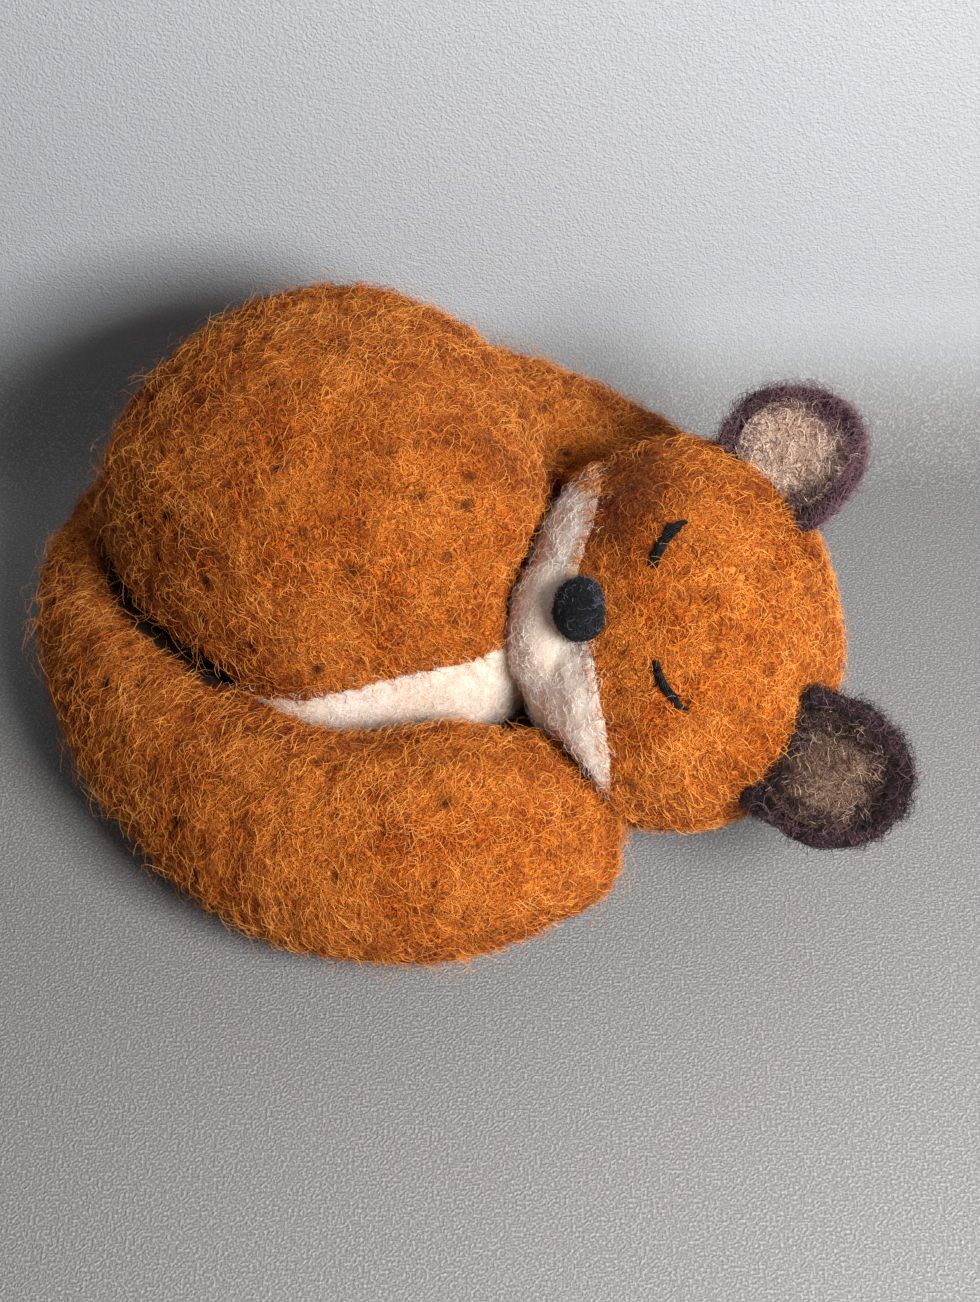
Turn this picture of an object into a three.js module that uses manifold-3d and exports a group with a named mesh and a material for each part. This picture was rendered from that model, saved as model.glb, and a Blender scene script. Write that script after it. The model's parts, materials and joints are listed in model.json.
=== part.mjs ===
// A curled, sleeping fox needle-felted from wool, built as the maker builds it:
// firm rolls of core wool, a top coat of dyed wool over each, and small felted pieces laid on.
// Millimetres, +Z up. +X runs from the tail's root to the head, and the belly faces -Y.

import * as THREE from "three";
import { mergeVertices } from "three/addons/utils/BufferGeometryUtils.js";
import Module from "manifold-3d";

const wasm = await Module();
wasm.setup();

// Driving dimensions
const haunchLength = 86; // rump to ribs, along X
const haunchDepth = 90; // back to belly
const haunchHeight = 76;
const chestFullness = 2; // how square the belly side runs on to the chest, 0 being an ellipse
const hipTuck = 0.5; // and how far it is drawn in behind the tail
const rumpTuck = 0.3; // how far the back is drawn in over the rump
const bellySag = 0.07; // share by which the belly swells low down
const neckThickness = 40; // the roll that joins the haunch to the head
const neckReach = 50; // how far the neck's line runs along X
const tailThickness = 43; // the brush at its thickest
const tailReach = 100; // how far the tail's line runs along X from its start
const headWidth = 71; // cheek to cheek
const headHeight = 57; // chin to crown
const headDepth = 58; // back of the head to the brow
const muzzleWidth = 29;
const muzzleHeight = 22;
const muzzleDepth = 30;
const noseWidth = 11.5;
const noseHeight = 9;
const noseDepth = 8;
const earLengths = { near: 25.8, far: 21.5 }; // root to tip
const earWidth = 25.5;
const earThickness = 4.2; // at the rolled rim

// Wool layers and clearances
const coatThickness = 4;
const patchThickness = 1.8; // coloured wool let into the coat
const patchProudHeight = 0.5; // how far it swells out of the coat
const patchEdgeThickness = 0.6; // and where it thins out at its edge
const liningThickness = 1.2;
const liningGap = 0.7; // under the lining, where the ear's hollow is faceted more coarsely
const strandThickness = 2; // a wisp of dark wool for a closed eye
const seatGap = 0.3; // pieces that touch lie this far apart
const tableSinkDepth = 0.5; // how much of a round form the table flattens
const floorWallThickness = 2.6; // coat left under a core
const cutOverrun = 40; // how far a cutting block passes the model
const neckOpeningWidth = 18; // where the coat of the head is open to its core

// Places on the table
const haunchMidX = -27;
const haunchMidY = 27;
const headMidX = 38;
const headMidY = -6.2;
const headMidZ = 37.2;
const neckStartX = -20;
const neckStartY = 42;
const tailStartX = -46;
const tailStartY = 48;

// How the head lies and how far each soft root gives
const faceElevation = 58; // degrees above the table that the face looks
const faceTurn = 10; // degrees that it turns towards the tail's root
const eyeShift = 2.5; // degrees that the maker set both eyes towards the near cheek
const headLift = 10; // degrees
const tailSwing = 5; // degrees
const earBend = 12; // degrees each way
const neckHingeY = 31;
const neckHingeZ = 36;
const tailHingeX = -60;
const tailHingeY = 46;
const motionSteps = 3; // poses at which a piece is cut clear of what moves beside it

// Where head and tail are felted flat against each other, and how far round the head that face reaches
const pressX = 19.8;
const pressY = -27.9;
const pressZ = 25.6;
const pressTurn = 34.8; // degrees from +X to +Y that the tail's face looks
const pressRise = 18.2; // degrees above the table
const pressReach = 12;

// How finely the forms are faceted: the skin that is seen, and the core inside it
const haunchFacets = { rings: 20, sides: 28 };
const haunchCoreFacets = { rings: 12, sides: 14 };
const neckFacets = { rings: 12, sides: 18 };
const neckCoreFacets = { rings: 9, sides: 10 };
const tailFacets = { rings: 22, sides: 20 };
const tailCoreFacets = { rings: 14, sides: 10 };
const headFacets = { rings: 18, sides: 26 };
const headCoreFacets = { rings: 10, sides: 14 };
const smallRings = 10;
const smallSides = 16;
const patchSteps = 6; // across a patch

const radians = THREE.MathUtils.degToRad;
const degrees = THREE.MathUtils.radToDeg;
const vector = (x, y, z) => new THREE.Vector3(x, y, z);
const ginger = new THREE.MeshStandardMaterial({ color: 0xb5540f, roughness: 1 });
const coreWool = new THREE.MeshStandardMaterial({ color: 0xd9cdb8, roughness: 1 });
const creamWool = new THREE.MeshStandardMaterial({ color: 0xe3d1bd, roughness: 1 });
const blackWool = new THREE.MeshStandardMaterial({ color: 0x16161c, roughness: 1 });
const plumWool = new THREE.MeshStandardMaterial({ color: 0x3d2a2e, roughness: 1 });
const taupeWool = new THREE.MeshStandardMaterial({ color: 0x8c7566, roughness: 1 });

// Reads a smooth curve through a table's stations, whose rows are [place, value, value, ...].
function smoothRow(table, place) {
  const last = table.length - 1;
  let i = 0;
  while (i < last - 1 && place > table[i + 1][0]) i += 1;
  const before = table[Math.max(i - 1, 0)];
  const from = table[i];
  const to = table[i + 1];
  const after = table[Math.min(i + 2, last)];
  const span = to[0] - from[0];
  const t = Math.min(Math.max((place - from[0]) / span, 0), 1);
  return from.slice(1).map((value, k) => {
    const slopeIn = (to[k + 1] - before[k + 1]) / Math.max(to[0] - before[0], Number.EPSILON);
    const slopeOut = (after[k + 1] - value) / Math.max(after[0] - from[0], Number.EPSILON);
    const t2 = t * t;
    const t3 = t2 * t;
    return (
      (2 * t3 - 3 * t2 + 1) * value +
      (t3 - 2 * t2 + t) * slopeIn * span +
      (3 * t2 - 2 * t3) * to[k + 1] +
      (t3 - t2) * slopeOut * span
    );
  });
}

// Joins rings of points into one closed skin with a pole at each end.
function skin(rings, startPole, endPole) {
  const sides = rings[0].length;
  const points = [startPole, ...rings.flat(), endPole];
  const at = (ring, side) => 1 + ring * sides + (side % sides);
  const faces = [];
  for (let s = 0; s < sides; s += 1) {
    faces.push(0, at(0, s + 1), at(0, s));
    for (let r = 0; r + 1 < rings.length; r += 1) {
      faces.push(at(r, s), at(r, s + 1), at(r + 1, s));
      faces.push(at(r, s + 1), at(r + 1, s + 1), at(r + 1, s));
    }
    faces.push(points.length - 1, at(rings.length - 1, s), at(rings.length - 1, s + 1));
  }
  const geometry = new THREE.BufferGeometry().setFromPoints(points);
  geometry.setIndex(faces);
  return geometry;
}

function solidOf(geometry) {
  const bare = geometry.clone();
  bare.deleteAttribute("normal");
  bare.deleteAttribute("uv");
  const merged = mergeVertices(bare);
  const made = new wasm.Manifold(
    new wasm.Mesh({
      numProp: 3,
      vertProperties: new Float32Array(merged.attributes.position.array),
      triVerts: new Uint32Array(merged.index.array),
    }),
  );
  if (made.volume() > 0) return made;
  const index = merged.index.array;
  for (let i = 0; i < index.length; i += 3) [index[i + 1], index[i + 2]] = [index[i + 2], index[i + 1]];
  return new wasm.Manifold(
    new wasm.Mesh({
      numProp: 3,
      vertProperties: new Float32Array(merged.attributes.position.array),
      triVerts: new Uint32Array(index),
    }),
  );
}

// Keeps the largest body of a solid that a cut has left with crumbs.
function wholePiece(solid) {
  return solid.decompose().reduce((best, body) => (body.volume() > best.volume() ? body : best));
}

function meshOf(name, solid, material) {
  const made = wholePiece(solid).getMesh();
  const points = new Float32Array(made.numVert * 3);
  for (let i = 0; i < made.numVert; i += 1) {
    points.set(made.vertProperties.subarray(i * made.numProp, i * made.numProp + 3), i * 3);
  }
  const geometry = new THREE.BufferGeometry();
  geometry.setAttribute("position", new THREE.BufferAttribute(points, 3));
  geometry.setIndex(new THREE.BufferAttribute(new Uint32Array(made.triVerts), 1));
  geometry.computeVertexNormals();
  const mesh = new THREE.Mesh(geometry, material);
  mesh.name = name;
  return mesh;
}

// Everything below a height, as a block to cut away.
function blockBelow(height) {
  const side = 2 * (haunchLength + tailReach + cutOverrun);
  const block = new THREE.BoxGeometry(side, side, cutOverrun);
  block.translate(0, 0, height - cutOverrun / 2);
  return solidOf(block);
}
const underTable = blockBelow(0);
const underCore = blockBelow(floorWallThickness);
const underCoreGap = blockBelow(floorWallThickness + seatGap);

// How a round end closes: 1 along the middle, falling to 0 at the tip.
const roundEnd = (share, power) => (1 - Math.min(Math.abs(share), 1) ** power) ** (1 / power);

// Haunch: the domed back, hip and ribs in one lump of wool.
// share runs -1 to 1 from rump to ribs, and angle from the back (0) over the top (90) to the belly (180).
function haunchPoint(share, angle, grow) {
  const belly = THREE.MathUtils.smoothstep(-Math.cos(angle), 0, 1);
  const back = THREE.MathUtils.smoothstep(Math.cos(angle), 0, 1);
  const fullness = share > 0 ? chestFullness * belly : -hipTuck * belly - rumpTuck * back;
  const close = roundEnd(share, 2 + fullness);
  const low = Math.max(0, -Math.sin(angle)) * Math.max(0, -Math.cos(angle));
  const swell = close * (1 + 2 * bellySag * low);
  const middle = haunchHeight / 2 - tableSinkDepth;
  return vector(
    haunchMidX + share * (haunchLength / 2 + grow),
    haunchMidY + swell * (haunchDepth / 2 + grow) * Math.cos(angle),
    middle + swell * (haunchHeight / 2 + grow) * Math.sin(angle),
  );
}

function haunchForm(grow, { rings, sides }) {
  const made = [];
  for (let r = 1; r < rings; r += 1) {
    const share = -Math.cos((Math.PI * r) / rings);
    const ring = [];
    for (let s = 0; s < sides; s += 1) ring.push(haunchPoint(share, (2 * Math.PI * s) / sides, grow));
    made.push(ring);
  }
  return solidOf(skin(made, haunchPoint(-1, 0, grow), haunchPoint(1, 0, grow)));
}

// A roll of wool lying on the table.
// line(share) gives its middle and its half thickness, with share running 0 to 1.
// The root end is flat, and runs back by the overrun.
function rollForm(line, grow, { rings, sides }, endPower, overrun) {
  const step = 0.5 / rings;
  const forwardAt = (share) => {
    const ahead = line(Math.min(share + step, 1)).middle;
    const behind = line(Math.max(share - step, 0)).middle;
    return ahead.sub(behind).setZ(0).normalize();
  };
  const made = [];
  for (let r = 0; r < rings; r += 1) {
    const share = Math.sin((Math.PI / 2) * (r / rings));
    const { middle, half } = line(share);
    const aside = vector(0, 0, 1).cross(forwardAt(share));
    const radius = roundEnd(share, endPower) * (half + grow);
    const ring = [];
    for (let s = 0; s < sides; s += 1) {
      const angle = (2 * Math.PI * s) / sides;
      const up = vector(0, 0, radius * Math.sin(angle));
      const across = up.addScaledVector(aside, radius * Math.cos(angle));
      ring.push(middle.clone().addScaledVector(forwardAt(share), share * grow).add(across));
    }
    made.push(ring);
  }
  const back = forwardAt(0).multiplyScalar(-overrun);
  if (overrun > 0) made.unshift(made[0].map((point) => point.clone().add(back)));
  const root = line(0).middle.add(back);
  return solidOf(skin(made, root, line(1).middle.addScaledVector(forwardAt(1), grow)));
}

// Turns a table into a roll's line. Rows are the place along it, two shares of its reach, and the shares
// of its thickness that it has there and that it is lifted off the table.
const rollLine = (table, startX, startY, reach, thickness) => (share) => {
  const [alongX, alongY, size, lift] = smoothRow(table, share);
  const half = (size * thickness) / 2;
  const height = half - tableSinkDepth + lift * thickness;
  return { middle: vector(startX + alongX * reach, startY + alongY * reach, height), half };
};

// Neck: leaves the back of the haunch and curls in under the head.
const neckShares = [
  [0.0, 0.0, 0.0, 0.7, 0.45],
  [0.3, 0.4, 0.05, 1.3, 0.05],
  [0.52, 0.7, 0.06, 1.23, 0],
  [0.7, 0.98, 0.0, 1.08, 0],
  [0.85, 1.18, -0.18, 0.95, 0],
  [1.0, 1.27, -0.8, 0.72, 0],
];
const neckEndPower = 5;
const neckLine = rollLine(neckShares, neckStartX, neckStartY, neckReach, neckThickness);

// Tail: a brush that leaves the rump, swings round in front of the belly and ends under the cheek.
const tailShares = [
  [0.0, 0.0, 0.0, 0.49, 0.32],
  [0.12, -0.2, -0.05, 0.53, 0.19],
  [0.22, -0.272, -0.18, 0.56, 0.04],
  [0.34, -0.222, -0.4, 0.63, 0],
  [0.46, -0.105, -0.6, 0.74, 0],
  [0.58, 0.08, -0.8, 0.84, 0],
  [0.72, 0.272, -0.886, 0.927, 0],
  [0.86, 0.482, -0.862, 0.95, 0],
  [1.0, 0.69, -0.785, 0.7, 0],
];
const tailEndPower = 9;
const tailLine = rollLine(tailShares, tailStartX, tailStartY, tailReach, tailThickness);

const torsoForm = (grow, roundFacets, rollFacets) =>
  haunchForm(grow, roundFacets).add(rollForm(neckLine, grow, rollFacets, neckEndPower, 0));
const tailForm = (grow, facets, overrun) => rollForm(tailLine, grow, facets, tailEndPower, overrun);

// Head: its own frame has the crown at +Z and the face at -Y, so +X is the cheek nearer the viewer.
const facePitch = radians(faceElevation);
const faceYaw = radians(faceTurn);
const faceward = vector(-Math.tan(faceYaw), -Math.cos(facePitch), Math.sin(facePitch)).normalize();
const backward = faceward.clone().negate();
const crownward = vector(1, 0, 0).addScaledVector(faceward, -faceward.x).normalize();
const sideward = backward.clone().cross(crownward);
const headPlace = new THREE.Matrix4()
  .makeBasis(sideward, backward, crownward)
  .setPosition(headMidX, headMidY, headMidZ);

// side runs -90 to 90 degrees from cheek to cheek.
// rise runs round the head from the face (0) over the crown (90).
function headPoint(side, rise, grow) {
  const width = headWidth / 2 + grow;
  const depth = headDepth / 2 + grow;
  const height = headHeight / 2 + grow;
  return vector(
    width * Math.sin(side),
    -depth * Math.cos(side) * Math.cos(rise),
    height * Math.cos(side) * Math.sin(rise),
  );
}

function headForm(grow, { rings, sides }) {
  const made = [];
  for (let r = 1; r < rings; r += 1) {
    const side = -Math.PI / 2 + (Math.PI * r) / rings;
    const ring = [];
    for (let s = 0; s < sides; s += 1) ring.push(headPoint(side, (2 * Math.PI * s) / sides, grow));
    made.push(ring);
  }
  const pole = headWidth / 2 + grow;
  return solidOf(skin(made, vector(-pole, 0, 0), vector(pole, 0, 0)));
}

// An egg with its own half sizes, for the muzzle and the nose.
function eggForm(middle, halfWidth, halfDepth, halfHeight) {
  const egg = new THREE.SphereGeometry(1, smallSides, smallRings);
  egg.scale(halfWidth, halfDepth, halfHeight);
  egg.translate(middle.x, middle.y, middle.z);
  return solidOf(egg);
}

// A thin patch of wool over a surface.
// place(across, along, height) gives its points, with across and along both running -1 to 1.
function patchForm(place, acrossSteps, alongSteps) {
  const sheet = (height) => {
    const rows = [];
    for (let i = 0; i <= alongSteps; i += 1) {
      const row = [];
      for (let j = 0; j <= acrossSteps; j += 1) {
        row.push(place(-1 + (2 * j) / acrossSteps, -1 + (2 * i) / alongSteps, height));
      }
      rows.push(row);
    }
    return rows;
  };
  const under = sheet(0);
  const over = sheet(1);
  const points = [...under.flat(), ...over.flat()];
  const wide = acrossSteps + 1;
  const layer = wide * (alongSteps + 1);
  const faces = [];
  for (let i = 0; i < alongSteps; i += 1) {
    for (let j = 0; j < acrossSteps; j += 1) {
      const a = i * wide + j;
      faces.push(a, a + 1, a + wide, a + 1, a + wide + 1, a + wide);
      faces.push(layer + a, layer + a + wide, layer + a + 1);
      faces.push(layer + a + 1, layer + a + wide, layer + a + wide + 1);
    }
  }
  const edge = [];
  for (let j = 0; j < acrossSteps; j += 1) edge.push(j);
  for (let i = 0; i < alongSteps; i += 1) edge.push(i * wide + acrossSteps);
  for (let j = acrossSteps; j > 0; j -= 1) edge.push(alongSteps * wide + j);
  for (let i = alongSteps; i > 0; i -= 1) edge.push(i * wide);
  edge.forEach((a, k) => {
    const b = edge[(k + 1) % edge.length];
    faces.push(a, layer + a, b, b, layer + a, layer + b);
  });
  const geometry = new THREE.BufferGeometry().setFromPoints(points);
  geometry.setIndex(faces);
  return solidOf(geometry);
}

// How thick a laid-on patch is at a point: full in the middle, thin at its edge.
function patchHeight(across, along, full) {
  const inner = (1 - across ** 4) * (1 - along ** 4);
  return patchEdgeThickness + (full - patchEdgeThickness) * inner;
}

// A patch let into a coat. surface(across, along, height) is a point that far outside the coat.
// clear = 0 makes the patch, and the seat's gap makes the pocket that it lies in.
function inlayForm(surface, acrossSteps, alongSteps, clear) {
  const place = (across, along, height) => {
    const inner = (1 - across ** 4) * (1 - along ** 4);
    const over = patchProudHeight * inner + clear;
    const thickness = patchEdgeThickness + (patchThickness - patchEdgeThickness) * inner;
    return surface(across, along, height === 1 ? over : patchProudHeight * inner - thickness - clear);
  };
  return patchForm(place, acrossSteps, alongSteps);
}

// Reads a table of [place, one edge, other edge] at a point of a patch.
// The patch's ends and edges are moved out by the margins.
function patchAt(table, across, along, endMargin, edgeMargin) {
  const start = table[0][0] - endMargin;
  const end = table[table.length - 1][0] + endMargin;
  const place = start + ((along + 1) / 2) * (end - start);
  const [upper, lower] = smoothRow(table, place);
  const half = (lower - upper) / 2;
  return [place, upper + half + across * (half + Math.sign(half) * edgeMargin)];
}
const pocketMargin = 1.3; // the pocket's sides stand this many times the gap from the patch

// Belly: cream wool along the front of the haunch.
// Rows are the share along it and the angles of its two edges.
const bellyAngles = [
  [-0.36, 197, 202],
  [-0.18, 191, 209],
  [0.02, 185, 215],
  [0.22, 180.5, 218],
  [0.42, 177, 220],
  [0.63, 175, 220],
  [0.78, 173, 218],
  [0.89, 172, 214],
];
const bellySteps = 12;
const bellyForm = (clear) =>
  inlayForm(
    (across, along, height) => {
      const room = (pocketMargin * clear) / (haunchHeight / 2);
      const [share, angle] = patchAt(bellyAngles, across, along, room, degrees(room));
      return haunchPoint(share, radians(angle), height);
    },
    patchSteps,
    bellySteps,
    clear,
  );

// Cheek: cream wool from beside the nose out to the jaw.
// Rows are the side angle and the rise of its two edges. The far cheek has the narrower patch.
const cheekAngles = {
  near: [
    [0, -33, -108],
    [13, -28, -106],
    [27, -28.5, -104],
    [41, -31, -98],
    [52, -42, -88],
    [62, -60, -76],
  ],
  far: [
    [0, -36, -108],
    [13, -34, -106],
    [27, -31.5, -104],
    [41, -34.5, -98],
    [50, -46, -88],
    [58, -61, -75],
  ],
};
const cheekSteps = 9;
const cheekForm = (mirror, clear) =>
  inlayForm(
    (across, along, height) => {
      const room = degrees((pocketMargin * clear) / (headHeight / 2));
      const table = mirror > 0 ? cheekAngles.near : cheekAngles.far;
      const [side, rise] = patchAt(table, across, along, room, 2 * room);
      return headPoint(mirror * radians(side), radians(rise), height);
    },
    patchSteps,
    cheekSteps,
    clear,
  );

// Closed eye: a wisp of black wool lying in a shallow curve.
// Rows are the place along it and its side and rise.
const eyeAngles = [
  [0, 11.5, -3.5],
  [0.35, 17, -3],
  [0.7, 23, 2],
  [1, 27.5, 9],
];
const eyeRings = 8;
const eyeSides = 6;
const eyeTipShare = 0.35; // how thin the wisp is at its ends

function eyeForm(mirror) {
  const fullness = (share) => eyeTipShare + (1 - eyeTipShare) * Math.sin(Math.PI * share);
  const radiusAt = (share) => (strandThickness / 2) * fullness(share);
  const centre = (share) => {
    const [side, rise] = smoothRow(eyeAngles, share);
    return headPoint(radians(mirror * side + eyeShift), radians(rise), seatGap + radiusAt(share));
  };
  const rings = [];
  for (let r = 0; r <= eyeRings; r += 1) {
    const share = r / eyeRings;
    const middle = centre(share);
    const outward = middle.clone().normalize();
    const ahead = centre(Math.min(share + 1 / eyeRings, 1));
    const forward = ahead.sub(centre(Math.max(share - 1 / eyeRings, 0))).normalize();
    const aside = outward.clone().cross(forward).normalize();
    const ring = [];
    for (let s = 0; s < eyeSides; s += 1) {
      const angle = (2 * Math.PI * s) / eyeSides;
      const across = aside.clone().multiplyScalar(radiusAt(share) * Math.cos(angle));
      ring.push(middle.clone().add(across).addScaledVector(outward, radiusAt(share) * Math.sin(angle)));
    }
    rings.push(ring);
  }
  return solidOf(skin(rings, centre(0), centre(1)));
}

// Ear: a cupped leaf of felt with a rolled rim.
// In its own frame the root lies along X, the tip is at +Z and the inside faces -Y.
const earShares = [
  [0.0, 0.8],
  [0.2, 0.95],
  [0.4, 1.0],
  [0.6, 0.95],
  [0.78, 0.78],
  [0.9, 0.56],
  [0.97, 0.33],
  [1.0, 0.1],
];
const earCupDepth = 4.2; // how far the sides curl forward of the middle
const earLeanDepth = 2.5; // how far the tip curls forward
const earHollowDepth = 1.9; // depth of the inside below the rim
const hollowShare = 0.74; // the hollow's outline within the ear's
const hollowFloor = 0.72; // share of the hollow that is its full depth
const hollowShift = 0.07; // share of the ear's length by which the hollow lies nearer the root
const rimShare = 0.97; // the edge is closed this share of the way out, so that it keeps some thickness
const liningRound = 0.9; // how far the lining's corners are taken off
const earRows = 12;
const earColumns = 10;
const earRootRise = 57; // degrees round the head where the root sits
const earRootSide = 43; // degrees to the side
const earSplays = { near: 24, far: 48 }; // degrees that each ear leans out from the crown
const earTurnIn = 8; // degrees that its inside turns outward
const earRootDepth = 3.5; // how far the leaf starts inside the head's outline

function earSheet(length, across, along) {
  const [widthShare] = smoothRow(earShares, along);
  const x = (across * widthShare * earWidth) / 2;
  const curl = earCupDepth * (across * widthShare) ** 2 + earLeanDepth * along * along;
  return vector(x, -curl, along * length);
}

// The leaf's half thickness: full at the rim, thinner in the hollow, and rounded off at the edge.
function earFront(across, along) {
  const rim = Math.max(Math.abs(across), Math.abs(2 * (along + hollowShift) - 1) ** 3);
  const hollow = 1 - THREE.MathUtils.smoothstep(rim, hollowShare * hollowFloor, hollowShare);
  return earThickness / 2 - earHollowDepth * hollow;
}

const edgeRound = (across, along) => roundEnd(across, 4) * roundEnd(2 * along - 1, 8);

const tipwards = (along) => Math.sin(((along + 1) * Math.PI) / 4);

function earForm(length) {
  const place = (across, along, height) => {
    const up = tipwards(along);
    const round = edgeRound(across * rimShare, (1 - rimShare) / 2 + up * rimShare);
    const front = earFront(across, up) * round;
    const back = (earThickness / 2) * round;
    return earSheet(length, across, up).add(vector(0, height === 1 ? -front : back, 0));
  };
  return patchForm(place, earColumns, earRows);
}

function liningForm(length) {
  const place = (across, along, height) => {
    const a = across * hollowShare * roundEnd(along * liningRound, 3);
    const b = 0.5 - hollowShift + (along * hollowShare) / 2;
    const fill = height * patchHeight(across, along, liningThickness);
    return earSheet(length, a, b).add(vector(0, -(earFront(a, b) + liningGap + fill), 0));
  };
  return patchForm(place, earColumns - 2, earRows - 2);
}

// Places one ear's frame on the head; mirror is 1 for the near cheek and -1 for the far one.
function earPlace(mirror) {
  const root = headPoint(radians(earRootSide), radians(earRootRise), -earRootDepth);
  const splay = radians(mirror > 0 ? earSplays.near : earSplays.far);
  const up = vector(Math.sin(splay), 0, Math.cos(splay));
  const inside = vector(Math.sin(radians(earTurnIn)), -Math.cos(radians(earTurnIn)), 0);
  const back = inside.clone().negate();
  back.addScaledVector(up, -back.dot(up)).normalize();
  const along = back.clone().cross(up);
  const place = new THREE.Matrix4().makeBasis(along, back, up).setPosition(root);
  if (mirror < 0) place.premultiply(new THREE.Matrix4().makeScale(-1, 1, 1));
  return place;
}

// Turns a solid about a line through a point.
function turned(solid, point, axis, angle) {
  const there = new THREE.Matrix4().makeTranslation(point.x, point.y, point.z);
  const turn = new THREE.Matrix4().makeRotationAxis(axis, radians(angle));
  const back = new THREE.Matrix4().makeTranslation(-point.x, -point.y, -point.z);
  return moved(solid, there.multiply(turn).multiply(back));
}

function moved(solid, matrix) {
  return solid.transform(matrix.elements);
}

// A piece turns by up to the given degrees; this cuts it clear of what stands still beside it.
function clearedOf(piece, still, point, axis, degreesFrom, degreesTo) {
  let made = piece;
  for (let k = 0; k <= motionSteps; k += 1) {
    const angle = degreesFrom + ((degreesTo - degreesFrom) * k) / motionSteps;
    made = made.subtract(turned(still, point, axis, -angle));
  }
  return made;
}

// A piece with copies of itself turned through its motion, up to the given degrees.
function swept(piece, point, axis, degreesTo) {
  let made = piece;
  for (let k = 1; k <= motionSteps; k += 1) {
    made = made.add(turned(piece, point, axis, (degreesTo * k) / motionSteps));
  }
  return made;
}

// Hinge lines, where each felted root bends
const neckHinge = vector(headMidX, neckHingeY, neckHingeZ);
const neckAxis = vector(-1, 0, 0);
const tailHinge = vector(tailHingeX, tailHingeY, 0);
const tailAxis = vector(0, 0, -1);

// Muzzle and nose: eggs half buried in the face, with the part inside the head cut off
const headSkin = headForm(0, headFacets);
const headGuardLocal = headForm(seatGap, headFacets);
const muzzleRise = -68; // degrees round the head
const muzzleSinkDepth = 8; // how far the egg's middle lies inside the head's outline
const muzzleMiddle = headPoint(0, radians(muzzleRise), -muzzleSinkDepth);
const muzzleEgg = (grow) =>
  eggForm(muzzleMiddle, muzzleWidth / 2 + grow, muzzleDepth / 2 + grow, muzzleHeight / 2 + grow);
const noseRise = -29; // degrees round the head
const noseProud = 0.2; // share of its depth that the nose's middle stands out of the head
const noseMiddle = headPoint(0, radians(noseRise), noseDepth * noseProud);
const noseEgg = (grow) =>
  eggForm(noseMiddle, noseWidth / 2 + grow, noseDepth / 2 + grow, noseHeight / 2 + grow);
const muzzleLocal = muzzleEgg(0).subtract(headGuardLocal).subtract(noseEgg(seatGap));
const noseLocal = noseEgg(0).subtract(headGuardLocal);

// Head: coat, core, and the cheeks let into the coat
const cheekCut = cheekForm(1, seatGap).add(cheekForm(-1, seatGap));
const faceCut = muzzleEgg(seatGap).subtract(headSkin).add(noseEgg(seatGap).subtract(headSkin));
const neckTunnel = (width, reach) => {
  const tunnel = new THREE.CylinderGeometry(width / 2, width / 2, reach, smallSides);
  tunnel.translate(0, reach / 2, 0);
  return solidOf(tunnel);
};
const headCoatLocal = headSkin
  .subtract(headForm(-coatThickness, headCoreFacets))
  .subtract(neckTunnel(neckOpeningWidth, headDepth))
  .subtract(cheekCut);
const headCoreLocal = headForm(-coatThickness - seatGap, headCoreFacets)
  .add(neckTunnel(neckOpeningWidth - 2 * seatGap, headDepth).intersect(headForm(-seatGap, headFacets)));
const faceMiddle = solidOf(new THREE.BoxGeometry(seatGap, 2 * headDepth, 2 * headHeight));
const cheekLocal = (mirror) =>
  cheekForm(mirror, 0).subtract(muzzleEgg(seatGap)).subtract(noseEgg(seatGap)).subtract(faceMiddle);

// Head and tail press flat on each other, so that either can move off without catching.
const pressed = vector(Math.cos(radians(pressTurn)), Math.sin(radians(pressTurn)), 0)
  .multiplyScalar(Math.cos(radians(pressRise)))
  .setZ(Math.sin(radians(pressRise)));
const pressedAt = pressed.dot(vector(pressX, pressY, pressZ));
const pastFace = (solid, gap) => solid.trimByPlane(pressed.toArray(), pressedAt + gap);
const placed = (solid) => moved(solid, headPlace).subtract(underTable);
const onHead = (solid) => pastFace(placed(solid), seatGap / 2);
const headGuard = pastFace(placed(headGuardLocal.add(faceCut).add(cheekCut)), -seatGap / 2);
const tailFace = pastFace(placed(headForm(pressReach, headCoreFacets)), -seatGap / 2);

// Torso: one coat over haunch and neck, open where the neck meets the head, with its core inside.
// It is cut clear of the head and of the tail through their whole motion.
// The core stands back from both seats, so that the coat keeps its wall there.
const tailGuard = tailForm(seatGap, tailFacets, seatGap);
const backing = (depth) => {
  const behindTail = swept(tailForm(depth, tailCoreFacets, depth), tailHinge, tailAxis, tailSwing);
  const behindHead = swept(placed(headForm(depth, headCoreFacets)), neckHinge, neckAxis, headLift);
  return behindTail.add(behindHead);
};
const throat = (clear) =>
  moved(neckTunnel(neckOpeningWidth - 2 * clear, headDepth / 2 + 2 * coatThickness - clear), headPlace);
const motionCut = (solid) =>
  clearedOf(
    clearedOf(solid, headGuard, neckHinge, neckAxis, 0, -headLift),
    tailGuard,
    tailHinge,
    tailAxis,
    0,
    -tailSwing,
  );
const torsoOuter = torsoForm(0, haunchFacets, neckFacets).subtract(underTable);
const torsoInner = torsoForm(-coatThickness, haunchCoreFacets, neckCoreFacets)
  .subtract(underCore)
  .subtract(backing(coatThickness));
const torsoInnermost = torsoForm(-coatThickness - 1.5 * seatGap, haunchCoreFacets, neckCoreFacets)
  .subtract(underCoreGap)
  .subtract(backing(coatThickness + 3 * seatGap))
  .add(throat(seatGap).intersect(torsoOuter))
  .subtract(underCoreGap);
const torsoShell = torsoOuter.subtract(torsoInner).subtract(throat(0));
const bodyCoat = motionCut(torsoShell.subtract(bellyForm(seatGap)));
const bodyCore = motionCut(torsoInnermost);
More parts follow.
